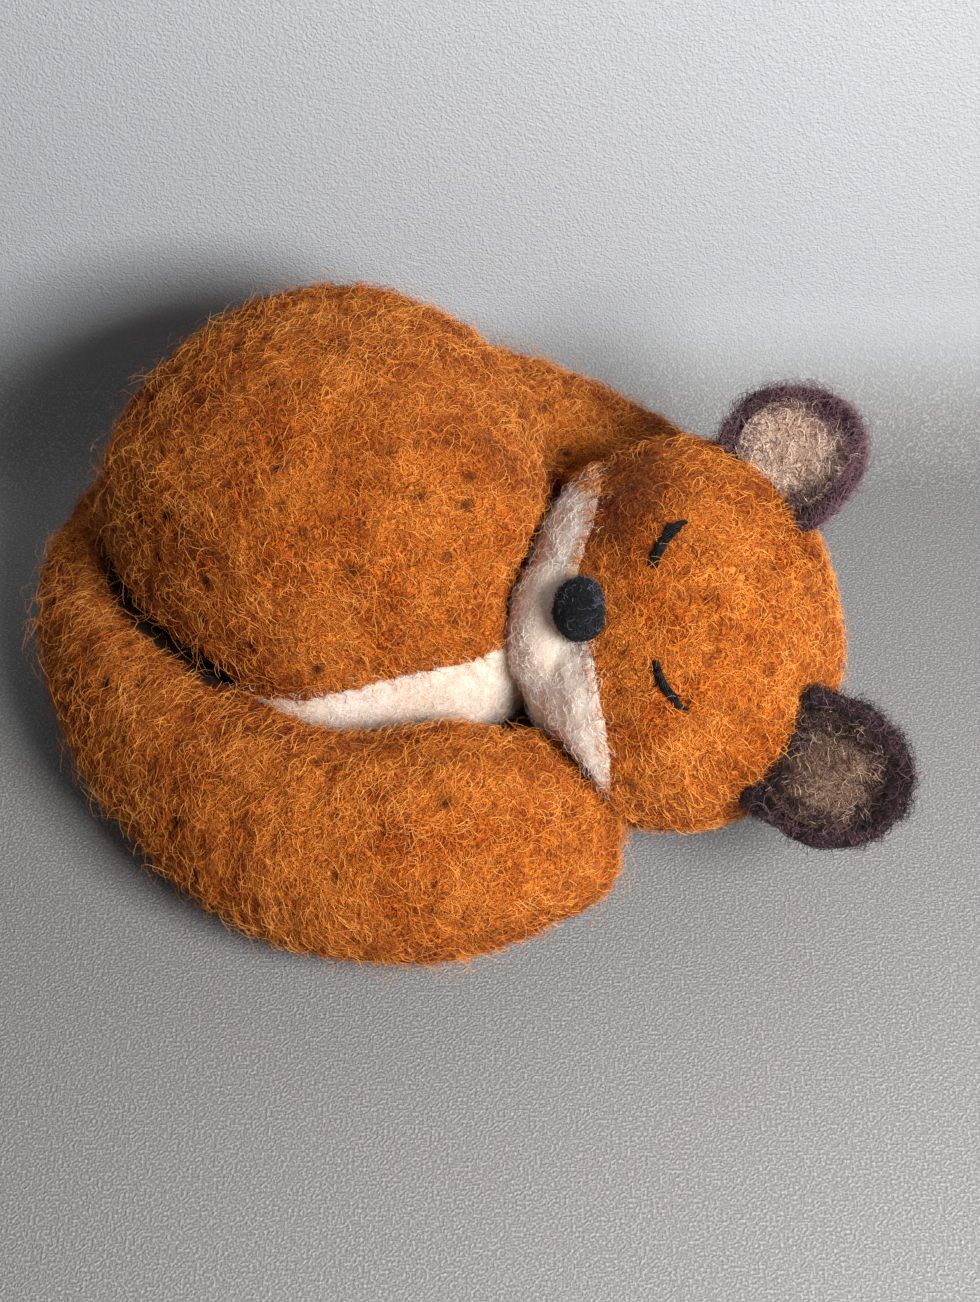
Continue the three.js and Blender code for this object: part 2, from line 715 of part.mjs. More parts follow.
const bellyPatch = motionCut(bellyForm(0).subtract(underTable));

// Tail, open at its root and pressed flat where the head lies on it
const tailCut = (solid) => solid.subtract(tailFace);
const tailOuter = tailForm(0, tailFacets, 0).subtract(underTable);
const tailInner = tailForm(-coatThickness, tailCoreFacets, coatThickness).subtract(underCore);
const tailCoat = tailCut(tailOuter.subtract(tailInner));
const tailCore = tailCut(tailForm(-coatThickness - seatGap, tailCoreFacets, 0).subtract(underCoreGap));

// Ears, each cut clear of the head through its whole bend
function earPieces(mirror) {
  const full = new THREE.Matrix4().multiplyMatrices(headPlace, earPlace(mirror));
  const point = vector(0, 0, 0).applyMatrix4(full);
  const axis = vector(1, 0, 0).transformDirection(full);
  const length = mirror > 0 ? earLengths.near : earLengths.far;
  const clear = (solid) => clearedOf(moved(solid, full), headGuard, point, axis, -earBend, earBend);
  return { leaf: clear(earForm(length)), lining: clear(liningForm(length)), point, axis };
}
const earNear = earPieces(1);
const earFar = earPieces(-1);

const fox = new THREE.Group();
fox.add(
  meshOf("body_core", bodyCore, coreWool),
  meshOf("body_coat", bodyCoat, ginger),
  meshOf("belly_patch", bellyPatch, creamWool),
  meshOf("tail_core", tailCore, coreWool),
  meshOf("tail_coat", tailCoat, ginger),
  meshOf("head_core", onHead(headCoreLocal), coreWool),
  meshOf("head_coat", onHead(headCoatLocal), ginger),
  meshOf("muzzle", onHead(muzzleLocal), creamWool),
  meshOf("cheek_near", onHead(cheekLocal(1)), creamWool),
  meshOf("cheek_far", onHead(cheekLocal(-1)), creamWool),
  meshOf("nose", onHead(noseLocal), blackWool),
  meshOf("eye_near", onHead(eyeForm(1)), blackWool),
  meshOf("eye_far", onHead(eyeForm(-1)), blackWool),
  meshOf("ear_near", earNear.leaf, plumWool),
  meshOf("ear_near_lining", earNear.lining, taupeWool),
  meshOf("ear_far", earFar.leaf, plumWool),
  meshOf("ear_far_lining", earFar.lining, taupeWool),
);

// The origin is on the table under the middle of the whole fox.
const box = new THREE.Box3().setFromObject(fox);
const middle = box.getCenter(vector(0, 0, 0));
fox.position.set(-middle.x, -middle.y, -box.min.z);
const rounded = (numbers, places) => numbers.map((n) => Number(n.toFixed(places)));
const shown = (point) => rounded(point.clone().add(fox.position).toArray(), 3);
const plain = (axis) => rounded(axis.toArray(), 6);
console.log("size", rounded(box.getSize(vector(0, 0, 0)).toArray(), 1));
console.log("moved by", rounded(fox.position.toArray(), 3));
console.log("neck hinge", shown(neckHinge), "tail hinge", shown(tailHinge));
console.log("near ear hinge", shown(earNear.point), plain(earNear.axis));
console.log("far ear hinge", shown(earFar.point), plain(earFar.axis));

export default fox;
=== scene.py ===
# %% [markdown]
# # A sleeping fox, needle-felted from wool
#
# The real fox is a firm roll of core wool with a coat of dyed wool pricked over it.
# Nothing is sewn. A barbed needle tangles the fibres, so the pieces grow into each other.
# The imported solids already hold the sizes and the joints. This script dresses them as wool:
# first a felted skin for each part, then the loose fibres that stand on that skin.

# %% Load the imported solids
import json
import math

import bmesh
import bpy
import numpy as np
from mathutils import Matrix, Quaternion, Vector, noise
from mathutils.bvhtree import BVHTree
from mathutils.kdtree import KDTree

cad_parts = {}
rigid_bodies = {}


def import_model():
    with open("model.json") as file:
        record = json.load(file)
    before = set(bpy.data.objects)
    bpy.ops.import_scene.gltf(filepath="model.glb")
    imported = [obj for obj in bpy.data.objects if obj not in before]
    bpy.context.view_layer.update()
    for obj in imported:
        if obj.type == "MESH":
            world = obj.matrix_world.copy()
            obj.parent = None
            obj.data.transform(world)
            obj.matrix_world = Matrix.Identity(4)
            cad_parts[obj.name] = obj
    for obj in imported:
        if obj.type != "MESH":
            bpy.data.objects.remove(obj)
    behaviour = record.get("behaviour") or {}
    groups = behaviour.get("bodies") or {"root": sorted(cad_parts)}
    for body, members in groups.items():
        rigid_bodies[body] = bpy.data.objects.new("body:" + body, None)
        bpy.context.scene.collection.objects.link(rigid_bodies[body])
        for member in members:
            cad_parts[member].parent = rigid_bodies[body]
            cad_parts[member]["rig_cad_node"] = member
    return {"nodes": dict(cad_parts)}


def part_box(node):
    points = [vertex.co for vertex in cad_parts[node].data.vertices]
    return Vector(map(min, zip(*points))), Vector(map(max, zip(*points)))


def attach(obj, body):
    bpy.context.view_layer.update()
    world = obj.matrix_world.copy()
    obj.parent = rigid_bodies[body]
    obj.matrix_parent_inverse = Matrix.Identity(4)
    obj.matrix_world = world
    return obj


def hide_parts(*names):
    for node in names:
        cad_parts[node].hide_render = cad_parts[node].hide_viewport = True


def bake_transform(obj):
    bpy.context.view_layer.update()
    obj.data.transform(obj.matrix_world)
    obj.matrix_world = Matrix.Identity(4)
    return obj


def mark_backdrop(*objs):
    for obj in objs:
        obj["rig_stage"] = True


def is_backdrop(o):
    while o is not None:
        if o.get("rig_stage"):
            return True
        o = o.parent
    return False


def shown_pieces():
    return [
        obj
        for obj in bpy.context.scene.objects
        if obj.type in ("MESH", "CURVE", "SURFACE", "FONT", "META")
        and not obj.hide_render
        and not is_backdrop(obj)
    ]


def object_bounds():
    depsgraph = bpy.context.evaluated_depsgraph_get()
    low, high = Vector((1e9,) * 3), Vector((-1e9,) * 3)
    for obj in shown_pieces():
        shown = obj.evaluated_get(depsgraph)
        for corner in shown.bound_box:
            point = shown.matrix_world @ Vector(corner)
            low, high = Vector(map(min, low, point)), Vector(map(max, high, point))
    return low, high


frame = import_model()
cad_low, cad_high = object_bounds()
MM = 0.001
scene = bpy.context.scene
noise.seed_set(5)  # without a seed the noise vectors follow the clock
print("solids:", len(frame["nodes"]), "box in mm:", [round(x / MM, 1) for x in cad_high - cad_low])

# %% [markdown]
# ## Camera
#
# The photograph looks down on the fox from the front, at 48 degrees. A camera that is level
# and only tipped keeps the upright lines upright, so one turn about X is all it needs.

# %% Set up the camera
CAMERA_PLACE = Vector((8.456, -286.532, 338.12)) * MM
CAMERA_TIP = 42  # degrees up from looking straight down
LENS = 62.5

camera = bpy.data.objects.new("camera", bpy.data.cameras.new("camera"))
scene.collection.objects.link(camera)
scene.camera = camera
camera.location = CAMERA_PLACE
camera.rotation_euler = (math.radians(CAMERA_TIP), 0, 0)
camera.data.lens = LENS
camera.data.sensor_width = 36
camera.data.clip_start, camera.data.clip_end = 10 * MM, 5
scene.view_settings.view_transform = "Standard"
print("camera at", [round(x / MM) for x in camera.location])

# %% [markdown]
# ## Shader sums
#
# A material's pattern is arithmetic on noise. Written as nodes it is hard to read, so a small
# class wraps one output socket and lets Python's own operators add the Math nodes.


# %% Wrap a socket so that sums can be written in Python
class Shade:
    def __init__(self, tree, socket=None):
        self.tree = tree
        self.socket = socket

    def add(self, kind, settings=None, inputs=None, output=0):
        """Adds a node: its settings come first, then the values or links of its sockets."""
        node = self.tree.nodes.new(kind)
        for name, value in (settings or {}).items():
            if name == "stops":
                fill_ramp(node.color_ramp, value)
            else:
                setattr(node, name, value)
        for name, value in (inputs or {}).items():
            if isinstance(value, Shade):
                self.tree.links.new(value.socket, node.inputs[name])
            else:
                node.inputs[name].default_value = value
        return Shade(self.tree, node.outputs[output])

    def maths(self, operation, first, second):
        return self.add("ShaderNodeMath", {"operation": operation}, {0: first, 1: second})

    def __add__(self, other):
        return self.maths("ADD", self, other)

    def __mul__(self, other):
        return self.maths("MULTIPLY", self, other)

    __radd__ = __add__
    __rmul__ = __mul__

    def between(self, low, high):
        """0 below low, 1 above high, and smooth in between."""
        settings = {"interpolation_type": "SMOOTHSTEP"}
        return self.add("ShaderNodeMapRange", settings, {0: self, 1: low, 2: high})

    def mix(self, first, second):
        """The first colour where this is 0, and the second where it is 1."""
        inputs = {0: self, 6: first, 7: second}
        return self.add("ShaderNodeMix", {"data_type": "RGBA"}, inputs, output=2)


def fill_ramp(ramp, stops):
    for k, (place, colour) in enumerate(stops):
        stop = ramp.elements[k] if k < len(ramp.elements) else ramp.elements.new(place)
        stop.position = place
        stop.color = colour


def colour(code):
    """A colour written as web hex, turned into the linear values that Blender works in."""
    parts = [int(code[k : k + 2], 16) / 255 for k in (0, 2, 4)]
    linear = [p / 12.92 if p <= 0.04045 else ((p + 0.055) / 1.055) ** 2.4 for p in parts]
    return (*linear, 1)


def material(name, roughness, sheen=0.0, specular=0.3):
    made = bpy.data.materials.new(name)
    made.use_nodes = True
    shader = made.node_tree.nodes["Principled BSDF"]
    shader.inputs["Roughness"].default_value = roughness
    shader.inputs["Sheen Weight"].default_value = sheen
    shader.inputs["Specular IOR Level"].default_value = specular
    return made, shader, Shade(made.node_tree)


print("shader helper ready")

# %% [markdown]
# ## Felted skin
#
# Felt seen close up is a mat of curled fibres lying over each other. Lines of equal height in
# a noise run in just such curls, so each layer of fibres is drawn as the height lines of a
# noise of its own. Deep layers are dark and the top one is bright: painted shade among the
# fibres and a painted highlight on the top ones, laid over the blend of dyed shades. The same
# layers give the bump. The tone drifts over a centimetre or two, as hand-dyed wool does. White
# wool lets light through, so the cream felt scatters it under the skin.


# %% Make the felt materials
def strands(nodes, place, size, bends, lines):
    """Curling lines: the height lines of one noise, 1 along each line and 0 between them."""
    inputs = {"Vector": place, "Scale": 1 / (size * MM), "Detail": 1.0, "Distortion": bends}
    hills = nodes.add("ShaderNodeTexNoise", {}, inputs)
    wave = (hills * lines).maths("PINGPONG", hills * lines, 0.5) * 2
    return wave.between(0.45, 0.95)


def felt(name, shades, size=1.0, relief=0.6, sheen=0.05):
    # The first shade is the colour of the painted light that the attribute below lays on.
    painted_light_colour, deep, low, middle, bright = [colour(code) for code in shades]
    made, shader, nodes = material(name, 0.95, sheen, 0.1)
    place = nodes.add("ShaderNodeTexCoord", output=3)
    aside = nodes.add("ShaderNodeVectorMath", {"operation": "ADD"}, {0: place, 1: (0.31, 0.17, 0.23)})
    drift = nodes.add("ShaderNodeTexNoise", {}, {"Vector": place, "Scale": 1 / (13 * MM), "Detail": 3.0})
    under = strands(nodes, aside, 1.9 * size, 0.9, 5)
    over = strands(nodes, place, 2.6 * size, 1.4, 8)
    top = strands(nodes, aside, 3.4 * size, 1.8, 11) * drift.between(0.35, 0.6)
    tufts = nodes.add("ShaderNodeTexNoise", {}, {"Vector": aside, "Scale": 1 / (3.6 * MM), "Detail": 2.0})
    # Painted shade and highlight: the deep layer is darkest and the top layer brightest.
    wool = under.mix(deep, low)
    wool = (over * (0.45 + 0.55 * tufts.between(0.4, 0.6))).mix(wool, middle)
    wool = (top * 0.85).mix(wool, bright)
    wool = (drift.between(0.35, 0.65) * 0.15).mix(wool, middle)
    # Painted light: shade painted into pits, crevices, the crown and the ear linings' rims, and the ginger
    # coat's reflection painted on the cream's rims.
    painted_light_amount = nodes.add("ShaderNodeAttribute", {"attribute_name": "pit"}, output=2)
    wool = painted_light_amount.mix(wool, painted_light_colour)
    made.node_tree.links.new(wool.socket, shader.inputs["Base Color"])
    height = under * 0.35 + over * 0.6 + top * 0.8
    inputs = {"Strength": relief, "Distance": 0.4 * MM, "Height": height}
    bump = nodes.add("ShaderNodeBump", {}, inputs)
    made.node_tree.links.new(bump.socket, shader.inputs["Normal"])
    return made


# The first code of each felt is its painted shade; on the cream it is a painted tan reflection of the
# ginger coat.
FELTS = {
    "ginger": felt("ginger_felt", ("240b02", "5c2206", "9a420e", "cb6b1a", "e9943f"), sheen=0.02),
    "cream": felt("cream_felt", ("d3a284", "d8bfa9", "e8d6c8", "efe3d9", "f5efe8"), 0.8, 0.3),
    "plum": felt("plum_felt", ("080406", "150d11", "2b1c21", "4a353b", "846469"), 0.8),
    "taupe": felt("taupe_felt", ("3c2a26", "6e5244", "a58472", "cdae99", "ecd6c4"), 0.7, 0.5),
    # A darker copy of the taupe felt, for the near ear's lining: painted shade.
    "umber": felt("umber_felt", ("140d0d", "30211c", "573f34", "785a4a", "a98f7a"), 0.7, 0.5),
    "black": felt("black_felt", ("020203", "030304", "08080b", "141419", "34343e"), 0.5, 0.6),
}
pale = FELTS["cream"].node_tree.nodes["Principled BSDF"]
pale.inputs["Subsurface Weight"].default_value = 0.8
pale.inputs["Subsurface Radius"].default_value = (1.0, 0.85, 0.75)
pale.inputs["Subsurface Scale"].default_value = 4 * MM
print("felts:", ", ".join(FELTS))

# %% [markdown]
# ## Loose fibres
#
# Each loose fibre is one dyed hair, so it has one plain colour. The mixture comes from
# many hairs of several shades side by side, as in the real blend of wool.


# %% Make the fibre materials
def fibre(name, code, roughness=0.55):
    made, shader, _ = material(name, roughness, 0.03, 0.2)
    shader.inputs["Base Color"].default_value = colour(code)
    return made


BLENDS = {
    "ginger": ["642404", "9e480c", "c86a18", "e0872c", "f4a650"],
    "cream": ["ecd6c2", "f6e6d8", "fbf1e8", "fffaf5"],
    "plum": ["120a0d", "24161a", "40292f", "7c5c63"],
    "taupe": ["6a4e42", "b08c78", "d6b8a2", "f0dcc8"],
    # A darker copy of the taupe fibres, for the near ear's lining: painted shade.
    "umber": ["1e1415", "54392f", "846656", "c9ac92"],
    # The grey last shade is a painted glint among the black hairs.
    "black": ["040406", "0a0a0e", "17171d", "5c5c68"],
}
FIBRES = {
    wool: [fibre(f"{wool}_fibre_{k + 1}", code) for k, code in enumerate(codes)]
    for wool, codes in BLENDS.items()
}
print("fibre shades:", sum(len(shades) for shades in FIBRES.values()))

# %% [markdown]
# ## From solid to felt
#
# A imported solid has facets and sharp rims, and wool has neither. A voxel remesh turns the
# coat and the core under it into one even skin, and smoothing then rounds off the facets.
# Where two rolls of wool meet, the maker pricks a little more wool into the angle. To get
# that fillet, the solids are swollen before the remesh and the skin is drawn in again after
# it: the outer faces come back to where they were, and the narrow angles stay filled.

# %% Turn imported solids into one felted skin
def gather(nodes):
    """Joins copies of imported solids, each swollen by its own amount."""
    shape = bmesh.new()
    for name, swell in nodes.items():
        part = bmesh.new()
        part.from_mesh(frame["nodes"][name].data)
        bmesh.ops.remove_doubles(part, verts=part.verts, dist=0.01 * MM)
        part.normal_update()
        for corner in part.verts:
            corner.co += corner.normal * swell
        moved = bpy.data.meshes.new("part")
        part.to_mesh(moved)
        shape.from_mesh(moved)
        part.free()
        bpy.data.meshes.remove(moved)
    return shape


def object_of(name, mesh):
    made = bpy.data.objects.new(name, mesh)
    scene.collection.objects.link(made)
    return made


def as_mesh(source, name):
    """The source with its modifiers or its curve's thickness applied, as a plain mesh."""
    view = bpy.context.evaluated_depsgraph_get()
    mesh = bpy.data.meshes.new_from_object(source.evaluated_get(view))
    mesh.name = name
    bpy.data.objects.remove(source)
    return object_of(name, mesh)


def largest_island(piece):
    """Drops what a remesh leaves shut inside a skin."""
    shape = bmesh.new()
    shape.from_mesh(piece.data)
    unseen = set(shape.verts)
    islands = []
    while unseen:
        front = [unseen.pop()]
        island = list(front)
        while front:
            ends = (edge.other_vert(v) for v in front for edge in v.link_edges)
            front = [v for v in set(ends) if v in unseen]
            unseen.difference_update(front)
            island.extend(front)
        islands.append(island)
    islands.sort(key=len)
    for island in islands[:-1]:
        bmesh.ops.delete(shape, geom=island, context="VERTS")
    shape.to_mesh(piece.data)
    shape.free()


def felted(name, nodes, grain, rounds, fillet=0.0):
    shape = gather({node: swell + fillet for node, swell in nodes.items()})
    mesh = bpy.data.meshes.new(name)
    shape.to_mesh(mesh)
    shape.free()
    rough = object_of(name + "_rough", mesh)
    remesh = rough.modifiers.new("remesh", "REMESH")
    remesh.mode = "VOXEL"
    remesh.voxel_size = grain
    smooth = rough.modifiers.new("smooth", "SMOOTH")
    smooth.factor = 0.5
    smooth.iterations = rounds
    made = as_mesh(rough, name)
    largest_island(made)
    if fillet:
        made.data.update()
        inward = [v.normal * -fillet for v in made.data.vertices]
        for corner, step in zip(made.data.vertices, inward):
            corner.co += step
    made.data.shade_smooth()
    return made


def places_of(mesh):
    flat = np.empty(len(mesh.vertices) * 3, np.float32)
    mesh.vertices.foreach_get("co", flat)
    return flat.reshape(-1, 3)


def fade(value, low, high):
    t = min(max((value - low) / (high - low), 0), 1)
    return t * t * (3 - 2 * t)


print("felting helpers ready")

# %% [markdown]
# ## The needle's marks
#
# Hand felting leaves two kinds of relief. Slow lumps show where more wool was laid on, and
# small round pits show where the needle went in again and again. The pits are cut into the
# skin's shape, and their depth is kept as an attribute, with which the material paints shade
# into them.

# %% Prick lumps and pits into a skin
PIT_SPACING = 4.6 * MM
PIT_RADIUS = 1.5 * MM
PAD_COVER = 0.25 * MM  # how far the coat stays under a pad's top
BANK_TOP = 0.9 * MM  # the most that the coat is raised beside a pad


def pit_depth(place):
    """1 in the middle of a needle's pit and 0 away from it. Only the luckier pits are kept."""
    distances, points = noise.voronoi(place / PIT_SPACING)
    luck = fade(noise.noise(points[0] * 1.7), -0.1, 0.5)
    if luck == 0:
        return 0.0
    radius = PIT_RADIUS * (0.55 + 0.9 * luck)
    away = distances[0] * PIT_SPACING + 0.35 * MM * noise.noise(place / (0.8 * MM))
    return (0.45 + 0.55 * luck) * (1 - fade(away, 0.1 * radius, radius))


def pad_over(pad, place, way):
    """The top of a pad that lies over a place on the skin, or None where the skin is bare."""
    return pad.ray_cast(place + way * 4 * MM, -way, 5 * MM)[0]


def bank_up(pad, corner, way):
    """Raises the wool beside a pad to the pad's own level, so that its rim doesn't stand up."""
    near, _, _, _ = pad.find_nearest(corner.co + way * 1.2 * MM, 3 * MM)
    if near is None:
        return
    rise = (near - corner.co).dot(way)
    aside = (near - corner.co - way * rise).length
    if rise > 0:
        corner.co += way * min(rise, BANK_TOP) * (1 - fade(aside, 0.3 * MM, 2.6 * MM))


def prick(piece, lump, pit, pads=()):
    """Adds lumps and pits, and keeps the skin under the pads of other wool that lie on it."""
    depths = []
    piece.data.update()
    ways = [v.normal.copy() for v in piece.data.vertices]
    for corner, way in zip(piece.data.vertices, ways):
        place = corner.co.copy()
        swell = noise.noise(place / (14 * MM)) + 0.7 * noise.noise(place / (5.5 * MM))
        fine = noise.noise(place / (1.8 * MM))
        depth = pit_depth(place) if pit else 0.0
        depths.append(depth)
        corner.co += way * (lump * (swell + 0.22 * fine) - pit * depth)
        for pad in pads:
            top = pad_over(pad, corner.co, way)
            if top is None:
                bank_up(pad, corner, way)
            elif (corner.co - top).dot(way) > -PAD_COVER:
                corner.co = top - way * PAD_COVER
        corner.co.z = max(corner.co.z, 0)
    # The pits' depth is kept for the material, which paints shade into the pits.
    marks = piece.data.attributes.new("pit", "FLOAT", "POINT")
    marks.data.foreach_set("value", depths)
    piece.data.update()


print("pits about", round(PIT_SPACING / MM, 1), "mm apart")

# %% [markdown]
# ## Small pieces
#
# Nose, ears and the cream pads are thin, so they get a finer remesh. On the face, the muzzle
# and both cheeks are one run of cream wool, so their three solids become one skin.

# %% Felt the cream wool, the nose and the ears
SMALL_FELTS = [
    # name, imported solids, body, wool, swell, grain, smoothing rounds, lumps
    ("belly_felt", ["belly_patch"], "torso", "cream", 0.5, 0.6, 8, 0.3),
    ("face_felt", ["muzzle", "cheek_near", "cheek_far"], "head", "cream", 0.6, 0.6, 16, 0.3),
    ("nose_felt", ["nose"], "head", "black", 0.0, 0.3, 3, 0.45),
    ("ear_near_felt", ["ear_near"], "ear_near", "plum", 0.1, 0.45, 3, 0.5),
    ("ear_far_felt", ["ear_far"], "ear_far", "plum", 0.1, 0.45, 3, 0.5),
    # The near ear's lining takes the darker copy of the taupe: painted shade.
    ("ear_near_inside", ["ear_near_lining"], "ear_near", "umber", 0.4, 0.45, 4, 0.3),
    ("ear_far_inside", ["ear_far_lining"], "ear_far", "taupe", 0.4, 0.45, 4, 0.3),
]
felts = {}
bodies = {}


def finish_felt(piece, body, wool, *replaced):
    piece.data.materials.append(FELTS[wool])
    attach(piece, body)
    if replaced:
        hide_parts(*replaced)
    felts[piece.name] = piece
    bodies[piece.name] = body
    print(piece.name, "faces:", len(piece.data.polygons))


def skin_tree(*pieces):
    """One search tree over the faces of one or more pieces."""
    places, faces = [], []
    for piece in pieces:
        start = len(places)
        places.extend(v.co for v in piece.data.vertices)
        faces.extend([start + k for k in face.vertices] for face in piece.data.polygons)
    return BVHTree.FromPolygons(places, faces)


for name, nodes, body, wool, swell, grain, rounds, lump in SMALL_FELTS:
    piece = felted(name, {node: swell * MM for node in nodes}, grain * MM, rounds)
    prick(piece, lump * MM, 0)
    finish_felt(piece, body, wool, *nodes)

# %% [markdown]
# ## The felted bodies
#
# Torso, tail and head are the three big lumps. The cream wool is let into the coat, so the
# skin of the coat is kept just under it, and rises round its edge.

# %% Felt the torso, the tail and the head
BIG_FELTS = [
    # name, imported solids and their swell, body, grain, fillet, lumps, pits, pads that lie on it
    ("torso_felt", {"body_coat": 0, "body_core": 0.3, "belly_patch": 0}, 1.15, 3.0, 0.9, 1.3, "belly_felt"),
    ("tail_felt", {"tail_coat": 0, "tail_core": 0.3}, 1.1, 1.5, 0.8, 1.1, None),
    ("head_felt", {"head_coat": 0, "head_core": 0.3, "cheek_near": 0, "cheek_far": 0}, 0.9, 1.5, 0.5,
     1.1, "face_felt"),
]
COAT_ROUNDS = 10  # of smoothing
for name, nodes, grain, fillet, lump, pit, pad in BIG_FELTS:
    swells = {node: swell * MM for node, swell in nodes.items()}
    piece = felted(name, swells, grain * MM, COAT_ROUNDS, fillet * MM)
    pads = [skin_tree(felts[pad])] if pad else []
    prick(piece, lump * MM, pit * MM, pads)
    body = name.split("_")[0]
    finish_felt(piece, body, "ginger", *[n for n in nodes if "coat" in n or "core" in n])

# %% [markdown]
# ## Painted shade on the crown
#
# Between the far eye and the far cheek the head's wool, skin and fibres, is darkened with painted shade.

# %% Paint shade on the crown
CROWN_START, CROWN_END = 6 * MM, 19 * MM
CROWN_SKIN_PAINTED_SHADE = 0.5  # how far painted shade darkens the skin in the middle
CROWN_FIBRE_PAINTED_SHADE = 0.6  # and how far painted shade darkens its fibres
FACE_PITS = 0.45  # the pits' painted shade is weaker on the face than on the haunch


def middle_of(node):
    low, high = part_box(node)
    return (low + high) / 2


CROWN_PLACE = (middle_of("cheek_far") + middle_of("eye_far")) / 2 + Vector((0, 5, 3)) * MM


def crown(place):
    """How much painted shade lies on the head's wool at a place."""
    return 1 - fade((place - CROWN_PLACE).length, CROWN_START, CROWN_END)


head_mesh = felts["head_felt"].data
# Painted shade: the pits' shade is weakened on the head, and the crown's painted shade is laid on.
for corner, mark in zip(head_mesh.vertices, head_mesh.attributes["pit"].data):
    mark.value = max(FACE_PITS * mark.value, CROWN_SKIN_PAINTED_SHADE * crown(corner.co))
print("crown darkened round", [round(c, 3) for c in CROWN_PLACE])

# %% [markdown]
# ## Crevices
#
# Where two rolls lie against each other no fibre can spring up, and deep shade falls there.
# The skins are cut in a little there, and the shade is painted on: they are marked in the same
# attribute as the pits.

# %% Mark the crevices
CREVICE_REACH = 5.5 * MM
CREVICE_FULL = 1.6 * MM  # nearer than this the painted shade in the crevice is at its darkest
CREVICE_CUT = 0.9 * MM
BELLY_NEAR, BELLY_FAR = 1 * MM, 6 * MM
CREVICES = {
    "torso_felt": skin_tree(felts["tail_felt"]),
    "tail_felt": skin_tree(felts["torso_felt"]),
}
BELLY_SKIN = skin_tree(felts["belly_felt"])


def crevice_depth(name, place):
    """1 where another roll lies close, 0 away from it and along the pale belly."""
    if name not in CREVICES:
        return 0.0
    near, _, _, distance = CREVICES[name].find_nearest(place, CREVICE_REACH)
    if near is None:
        return 0.0
    depth = 1 - fade(distance, CREVICE_FULL, CREVICE_REACH)
    belly, _, _, apart = BELLY_SKIN.find_nearest(place, BELLY_FAR)
    return depth if belly is None else depth * fade(apart, BELLY_NEAR, BELLY_FAR)


for name in CREVICES:
    mesh = felts[name].data
    ways = [v.normal.copy() for v in mesh.vertices]
    for corner, way, mark in zip(mesh.vertices, ways, mesh.attributes["pit"].data):
        depth = crevice_depth(name, corner.co)
        # Painted shade in the crevice.
        mark.value = max(mark.value, depth)
        corner.co -= way * depth * CREVICE_CUT
print("crevices marked on", ", ".join(CREVICES))

# %% [markdown]
# ## Wool in the angles
#
# The head is felted to the end of the tail and to the neck, and no crease shows there. The
# same swelling and drawing in, done over two bodies at once, gives the wool in the angle. At
# the tail's tip each skin is raised to it, so that they meet in a seam and part with the
# joint. At the nape a strip of it is kept.

# %% Raise two skins to the wool that lies over both
ANGLE_GRAIN = 0.9 * MM
ANGLE_ROUNDS = 14  # of smoothing
RISE_REACH = 4 * MM  # no skin is raised further than this
RISE_SHORT = 0.4 * MM  # the skins stay this far under, so that their seam shows
RISE_ROUNDS = 4  # of evening the rises out


def evened(rises, mesh):
    """The rises, each mixed with those of the corners round it."""
    edges = np.array([edge.vertices[:] for edge in mesh.edges])
    links = np.bincount(edges.ravel(), minlength=len(rises))
    for _ in range(RISE_ROUNDS):
        near = np.bincount(edges[:, 0], rises[edges[:, 1]], len(rises))
        near += np.bincount(edges[:, 1], rises[edges[:, 0]], len(rises))
        rises = (rises + near / links) / 2
    return rises.tolist()


def raise_to_angle(names, nodes, fillet, middle, reach):
    """Raises the skins near a middle point to the wool that would lie over both bodies."""
    whole = felted("angle", {node: 0 for node in nodes}, ANGLE_GRAIN, ANGLE_ROUNDS, fillet)
    over_both = skin_tree(whole)
    bpy.data.objects.remove(whole)
    pad = skin_tree(felts["face_felt"])
    for name in names:
        mesh = felts[name].data
        ways = [v.normal.copy() for v in mesh.vertices]
        rises = np.zeros(len(ways))
        for k, (corner, way) in enumerate(zip(mesh.vertices, ways)):
            apart = (corner.co - middle).length
            if apart > reach or pad_over(pad, corner.co, way) is not None:
                continue
            hit, face, _, rise = over_both.ray_cast(corner.co, way, RISE_REACH)
            if hit is not None and face.dot(way) > 0.2 and rise > RISE_SHORT:
                rises[k] = (rise - RISE_SHORT) * (1 - fade(apart, 0.7 * reach, reach))
        for corner, way, rise in zip(mesh.vertices, ways, evened(rises, mesh)):
            corner.co += way * rise
        mesh.update()


TIP_PLACE = Vector((30, -33, 26)) * MM
raise_to_angle(
    ["head_felt", "tail_felt"], ["head_coat", "cheek_near", "tail_coat"],
    fillet=3.5 * MM, middle=TIP_PLACE, reach=22 * MM,
)
print("skins raised at the tail's tip, round", [round(c, 3) for c in TIP_PLACE])

# %% Keep a strip of wool in the nape's angle
STRIP_DEPTH = 2.5 * MM  # how far the strip runs on inside the bodies
STRIP_THICKNESS = 1.4 * MM
NAPE_PLACE = Vector((45, 22, 50)) * MM


